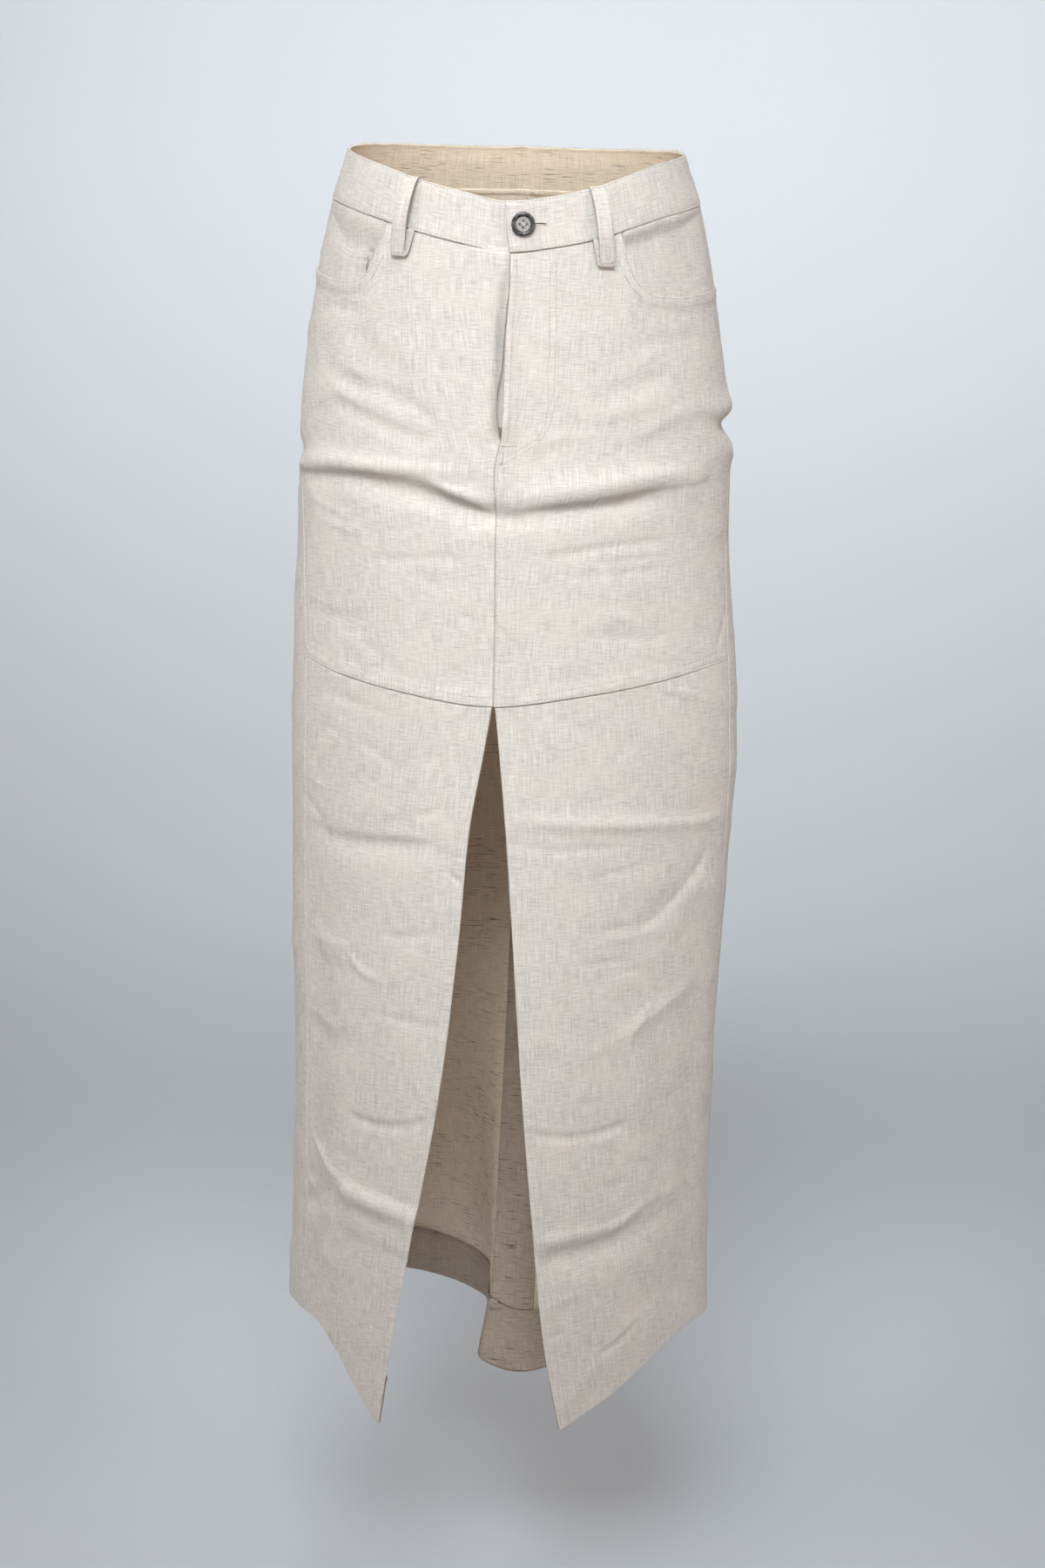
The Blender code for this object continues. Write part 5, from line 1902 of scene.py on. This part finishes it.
@dataclass
class BeltLoop:
    """A strip sewn in at the band's upper edge, standing off it, folded under and sewn below."""

    node: str
    top_angle: float
    bottom_angle: float
    skew: float = 0.0  # degrees by which the strip under the face leans away from it
    width: float = 0.0126
    wall: float = 0.0011
    # metres out from the form and down from the band's upper edge, along the strip's outer face
    route: Pairs = (
        (0.0012, 0.0010), (0.0030, 0.0003), (0.0054, 0.0028), (0.0082, 0.0105), (0.0102, 0.0210),
        (0.0108, 0.0335), (0.0094, 0.0460), (0.0070, 0.0565), (0.0052, 0.0628), (0.0043, 0.0650),
        (0.0034, 0.0655), (0.0025, 0.0642), (0.0020, 0.0595), (0.0018, 0.0510), (0.0014, 0.0430),
    )
    face: float = 0.52  # the share of the route that is the face
    face_drop: float = 0.066  # how far down the face ends
    length: float = 0.098
    row: float = 0.74  # where the rows of stitches run, as a share of half the width
    tacks: tuple[float, float] = (0.115, 0.555)  # where the bar tacks lie, as shares of the route
    half_section: tuple[float, ...] = (0.4, 0.65, 0.74, 0.83, 0.92, 0.97, 1.0)

    def surface(self, room: Workroom, across: Array, along: Array, lift: Array | float) -> tuple:
        """Points of the strip's outer face.

        The route is a smooth curve in the plane of outward and down. The strip's long edges are
        rounded off, and a groove runs beside each.

        Args:
            room: Holds the form.
            across: -1 at one long edge to 1 at the other.
            along: 0 to 1 along the route.
            lift: Metres out from the face.

        Returns:
            The points and the face's normals.
        """
        route = np.array(self.route).T
        reach = np.linspace(0.0, 1.0, len(self.route))
        out, drop = (smooth(along, reach, part) for part in route)
        step = 0.002
        later, sooner = along + step, along - step
        ahead_out, ahead_drop = (
            smooth(later, reach, part) - smooth(sooner, reach, part) for part in route
        )
        long = np.hypot(ahead_out, ahead_drop) + 1e-9
        edge = 0.0004 * ease(np.abs(across), 0.88, 1.0) ** 1.5
        groove = 0.00022 * bump(np.abs(across) - self.row, 0.09)
        off = lift - edge - groove
        out = out + off * ahead_drop / long
        drop = drop + off * -ahead_out / long
        middle = self.top_angle + (self.bottom_angle - self.top_angle) * drop / self.face_drop
        middle = middle + self.skew * np.clip((along - self.face - 0.14) / (0.86 - self.face), 0.0, 1.0)
        height = WAIST_LINE(wrapped(np.array(self.top_angle))) - drop
        per_degree = room.form.basis(middle, height)[2]
        angle = middle + across * self.width / 2 / per_degree
        points, normal, _ = room.form.basis(angle, height)
        share = (ahead_drop / long)[..., None], (-ahead_out / long)[..., None]
        face = normal * share[0] + np.array([0.0, 0.0, -1.0]) * share[1]
        return points + normal * out[..., None], face

    def build(self, room: Workroom) -> None:
        """The strip, two rows down its face and a bar tack near each end of it."""
        half = np.array(self.half_section)
        section = np.concatenate([-half[::-1], [0.0], half])
        across, along = np.meshgrid(section, np.linspace(0.0, 1.0, 110))
        points, _ = self.surface(room, across, along, 0.0)
        places = across * self.width / 2 + self.top_angle * 0.01, along * self.length
        piece = make_sheet(f"{self.node}_shell", points, np.stack(places, axis=-1), room.palette.outside)
        thicken(piece, self.wall)
        room.keep(piece, self.node)
        sewing = Sewing(f"{self.node}_stitching")
        starts = np.arange(0.10, self.face + 0.06, 0.0300)[:, None]
        spots = starts + STITCH_SHARES * 0.0225
        for side in (-self.row, self.row):
            sewing.add(*self.surface(room, side + 0 * spots, spots, arch(-0.0001, 0.00014)))
        for level in self.tacks:
            reach, share = np.meshgrid(level + BAR_SHARES * 0.012, np.linspace(-0.72, 0.72, 21))
            sewing.add(*self.surface(room, share, reach, arch(0.00002, 0.00022)))
        room.stitch(sewing)


@dataclass
class Button:
    """A turned four-hole button with a raised rim, sewn on with crossed threads."""

    angle: float = 4.5
    level: float = -0.0220
    diameter: float = 0.020
    height: float = 0.0034
    hole: float = 0.00115
    hole_out: float = 0.0026
    steps: int = 96
    seated: float = 0.0013  # how far its back lies out from the form
    drill_at: float = 0.0104  # the drill's middle above the back, which leaves a thin floor
    drill_length: float = 0.02
    # shares of the radius and of the height, from the middle over the rim to the flat back
    section: Pairs = (
        (0.00, 0.50), (0.20, 0.50), (0.40, 0.51), (0.52, 0.52), (0.57, 0.49), (0.61, 0.53),
        (0.66, 0.70), (0.72, 0.90), (0.79, 1.00), (0.86, 0.98), (0.92, 0.90), (0.97, 0.76),
        (1.00, 0.58), (0.99, 0.40), (0.95, 0.20), (0.88, 0.08), (0.80, 0.00), (0.00, 0.00),
    )

    def seat(self, room: Workroom) -> Matrix:
        """The button's place: its back on the band, its face out."""
        point, normal, _ = room.form.basis(np.array(self.angle), np.array(self.level))
        outward = Vector(normal)
        turned = outward.to_track_quat("Z", "Y").to_matrix().to_4x4()
        return Matrix.Translation(Vector(point) + outward * self.seated) @ turned

    def build(self, room: Workroom) -> None:
        """The disc, drilled, and its threads."""
        radius = self.diameter / 2
        profile = np.array(self.section) * np.array([radius, self.height])
        turn = np.arange(self.steps) * 2 * math.pi / self.steps
        ring = profile[1:-1]
        x = ring[:, 0][:, None] * np.cos(turn)
        y = ring[:, 0][:, None] * np.sin(turn)
        z = ring[:, 1][:, None] + 0 * turn
        middles = [[0, 0, profile[0, 1]], [0, 0, 0]]
        points = np.concatenate([np.stack([x, y, z], -1).reshape(-1, 3), middles])
        count, n = len(ring), self.steps
        i, j = np.meshgrid(np.arange(count - 1), np.arange(n), indexing="ij")
        i, j = i.ravel(), j.ravel()
        after = (j + 1) % n
        quads = np.stack([i * n + j, (i + 1) * n + j, (i + 1) * n + after, i * n + after], axis=1)
        j = np.arange(n)
        after, face, back = (j + 1) % n, count * n, count * n + 1
        top = np.stack([np.full(n, face), j, after, after], axis=1)
        last = (count - 1) * n
        under = np.stack([np.full(n, back), last + after, last + j, last + j], axis=1)
        mesh = bpy.data.meshes.new("button_disc")
        faces = [tuple(face) for face in quads] + [tuple(face[:3]) for face in (*top, *under)]
        mesh.from_pydata(points.tolist(), [], faces)
        mesh.update()
        piece = link("button_disc", mesh)
        self.drill(piece)
        layer = piece.data.uv_layers.new(name=CLOTH_UV)
        corners = np.empty(len(piece.data.loops), dtype=np.int32)
        piece.data.loops.foreach_get("vertex_index", corners)
        spots = np.empty(len(piece.data.vertices) * 3, dtype=np.float32)
        piece.data.vertices.foreach_get("co", spots)
        spots = spots.reshape(-1, 3)
        away = np.hypot(spots[:, 0], spots[:, 1])
        # Painted shade in the holes: points low in the button, the holes' thin floors among them, take the
        # dark rim's colour.
        deep = (spots[:, 2] < 0.3 * self.height) & (away > 1e-5)
        spots[deep, :2] *= (0.9 * radius / away[deep])[:, None]
        layer.data.foreach_set("uv", spots[corners, :2].ravel())
        piece.data.shade_smooth()
        piece.data.set_sharp_from_angle(angle=math.radians(50))
        seat = self.seat(room)
        piece.data.transform(seat)
        piece.data.materials.clear()
        piece.data.materials.append(HornFinish().build(radius))
        room.keep(piece, "button")
        self.sew_on(room, seat)

    def drill(self, piece: bpy.types.Object) -> None:
        """Cuts the four holes down to a thin floor, which is coloured dark as painted shade."""
        for i in range(4):
            turn = i * math.pi / 2
            place = (self.hole_out * math.cos(turn), self.hole_out * math.sin(turn), self.drill_at)
            drill = {"vertices": 24, "radius": self.hole, "depth": self.drill_length}
            bpy.ops.mesh.primitive_cylinder_add(location=place, **drill)
            cutter = bpy.context.active_object
            cut = piece.modifiers.new(f"hole_{i}", "BOOLEAN")
            cut.operation, cut.object = "DIFFERENCE", cutter
            with bpy.context.temp_override(object=piece, active_object=piece):
                bpy.ops.object.modifier_apply(modifier=cut.name)
            bpy.data.objects.remove(cutter, do_unlink=True)

    def sew_on(self, room: Workroom, seat: Matrix) -> None:
        """Threads from hole to hole, crossed over the button's middle, two beside each other."""
        sewing = Sewing("button_thread", thread=0.00023)
        top = self.height * 0.50
        samples, normals = [], []
        for turn in (0.0, math.pi / 2):
            ahead = np.array([math.cos(turn), math.sin(turn), 0.0])
            side = np.array([-ahead[1], ahead[0], 0.0])
            for shift in (-0.00030, 0.00030):
                reach = np.array([-1.0, -0.72, 0.72, 1.0]) * self.hole_out
                lift = arch(top - 0.0008, top + 0.0005)
                line = reach[:, None] * ahead + side * shift + lift[:, None] * np.array([0, 0, 1.0])
                samples.append(line)
                normals.append(np.tile([0.0, 0.0, 1.0], (4, 1)))
        turned = np.array(seat)
        points = np.array(samples) @ turned[:3, :3].T + turned[:3, 3]
        sewing.add(points, np.array(normals) @ turned[:3, :3].T)
        room.stitch(sewing)


# ---- Studio ------------------------------------------------------------------------------------


@dataclass
class Studio:
    """A plain floor that curves up into a backdrop, soft lights and the camera."""

    floor: float = -1.35
    wall_y: float = 4.8
    bend: float = 2.6
    half_width: float = 8.0
    wall_top: float = 6.5  # above the floor
    yaw: float = 2.5
    pitch: float = 12.2
    roll: float = 1.44
    distance: float = 2.293
    beside: float = -0.019
    camera_height: float = -0.025
    lens: float = 59.0

    def camera(self) -> None:
        """The camera: looks forward and down, turned a little about its axis."""
        yaw, pitch, roll = (math.radians(v) for v in (self.yaw, self.pitch, self.roll))
        ahead = Vector((-math.sin(yaw), math.cos(yaw), 0.0))
        right = Vector((math.cos(yaw), math.sin(yaw), 0.0))
        place = -ahead * self.distance - right * self.beside
        place.z = self.camera_height
        axis = ahead * math.cos(pitch) - Vector((0, 0, 1)) * math.sin(pitch)
        up = ahead * math.sin(pitch) + Vector((0, 0, 1)) * math.cos(pitch)
        x = right * math.cos(roll) + up * math.sin(roll)
        y = -right * math.sin(roll) + up * math.cos(roll)
        data = bpy.data.cameras.new("camera")
        data.lens, data.sensor_width = self.lens, 36.0
        data.clip_end = 50.0
        camera = link("camera", data)
        camera.matrix_world = Matrix.Translation(place) @ Matrix((x, y, -axis)).transposed().to_4x4()
        bpy.context.scene.camera = camera

    def backdrop(self) -> None:
        """The floor, a quarter circle and the wall, as one swept sheet."""
        bend, wide = self.bend, self.half_width
        turn = np.linspace(0, math.pi / 2, 24)
        y = np.concatenate([[-wide], self.wall_y - bend + bend * np.sin(turn), [self.wall_y]])
        z = np.concatenate([[0.0], bend - bend * np.cos(turn), [self.wall_top]]) + self.floor
        x = np.linspace(-wide, wide, 5)
        points = np.stack([x[None, :] + 0 * y[:, None], y[:, None] + 0 * x, z[:, None] + 0 * x], axis=-1)
        faces = grid_faces(len(y), len(x))[:, ::-1]
        finish = PlainFinish("backdrop", (0.655, 0.685, 0.72)).build()
        sheet = make_mesh("backdrop", points.reshape(-1, 3), faces, None, finish)

    def light(
        self,
        name: str,
        place: tuple,
        aim: tuple,
        size: tuple,
        power: float,
        colour: Colour,
        spread: float = 180.0,
    ) -> None:
        """One soft rectangular light, which narrows where its spread is less than half a turn."""
        data = bpy.data.lights.new(name, "AREA")
        data.shape, data.size, data.size_y = "RECTANGLE", *size
        data.spread = math.radians(spread)
        data.energy, data.color = power, colour
        turned = (Vector(place) - Vector(aim)).to_track_quat("Z", "Y").to_matrix().to_4x4()
        link(name, data).matrix_world = Matrix.Translation(place) @ turned

    def build(self) -> None:
        """Camera, backdrop, lights and a pale sky."""
        bpy.context.scene.view_settings.view_transform = "Standard"
        cool, warm = (0.88, 0.96, 1.0), (1.0, 0.90, 0.82)
        self.camera()
        self.backdrop()
        self.light("key", (-0.12, -2.2, 1.5), (-0.02, 0.0, -0.34), (1.4, 0.8), 5.4, cool, 40.0)
        place, aim = (-0.16, -0.45, 1.3), (-0.05, 0.13, -0.7)
        self.light("above", place, aim, (0.5, 0.5), 0.50, (0.94, 0.975, 1.0), 40.0)
        place, aim = (0.0, -2.35, -0.3), (0.0, 0.0, -0.9)
        self.light("low", place, aim, (1.5, 0.8), 0.30, (1.0, 0.60, 0.38), 120.0)
        self.light("fill_left", (-2.2, -1.6, 0.35), (0.0, 0.0, -0.2), (1.0, 1.6), 24.0, warm)
        self.light("fill_right", (2.2, -1.6, 0.35), (0.0, 0.0, -0.2), (1.0, 1.6), 26.0, warm)
        self.light("back", (0.0, 2.6, 1.9), (0.0, 0.0, -0.4), (3.0, 0.8), 13.0, (0.98, 0.98, 1.0), 120.0)
        place, aim = (0.0, 2.4, 2.0), (0.0, 4.6, -0.1)
        self.light("wall", place, aim, (5.0, 0.8), 69.0, (0.975, 0.985, 1.0), 130.0)
        world = bpy.data.worlds.new("sky")
        world.use_nodes = True
        sky = world.node_tree.nodes["Background"]
        sky.inputs["Color"].default_value = (0.97, 0.97, 1.0, 1.0)
        sky.inputs["Strength"].default_value = 0.10
        bpy.context.scene.world = world


def main() -> None:
    """Builds the studio and every sub-assembly."""
    logging.basicConfig(level=logging.INFO, format="%(name)s: %(message)s")
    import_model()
    Studio().build()
    creasing = Creasing(FRONT_CREASES + BACK_CREASES, RUMPLES)
    room = Workroom(WornForm(), creasing, Palette.build())
    Waistband().build(room)
    Fronts().build(room)
    Backs().build(room)
    Hems().build(room)
    Pockets().build(room)
    FlyUnderlap().build(room)
    for node, top, bottom, skew in (
        ("belt_loop_front_right", -31.5, -32.4, 1.9),
        ("belt_loop_front_left", 27.3, 28.6, -1.2),
        ("belt_loop_side_right", -112.0, -112.0, 0.4),
        ("belt_loop_side_left", 112.0, 112.0, -0.4),
        ("belt_loop_back", 180.0, 180.0, 0.3),
    ):
        BeltLoop(node, top, bottom, skew).build(room)
    Button().build(room)


if __name__ == "__main__":
    main()
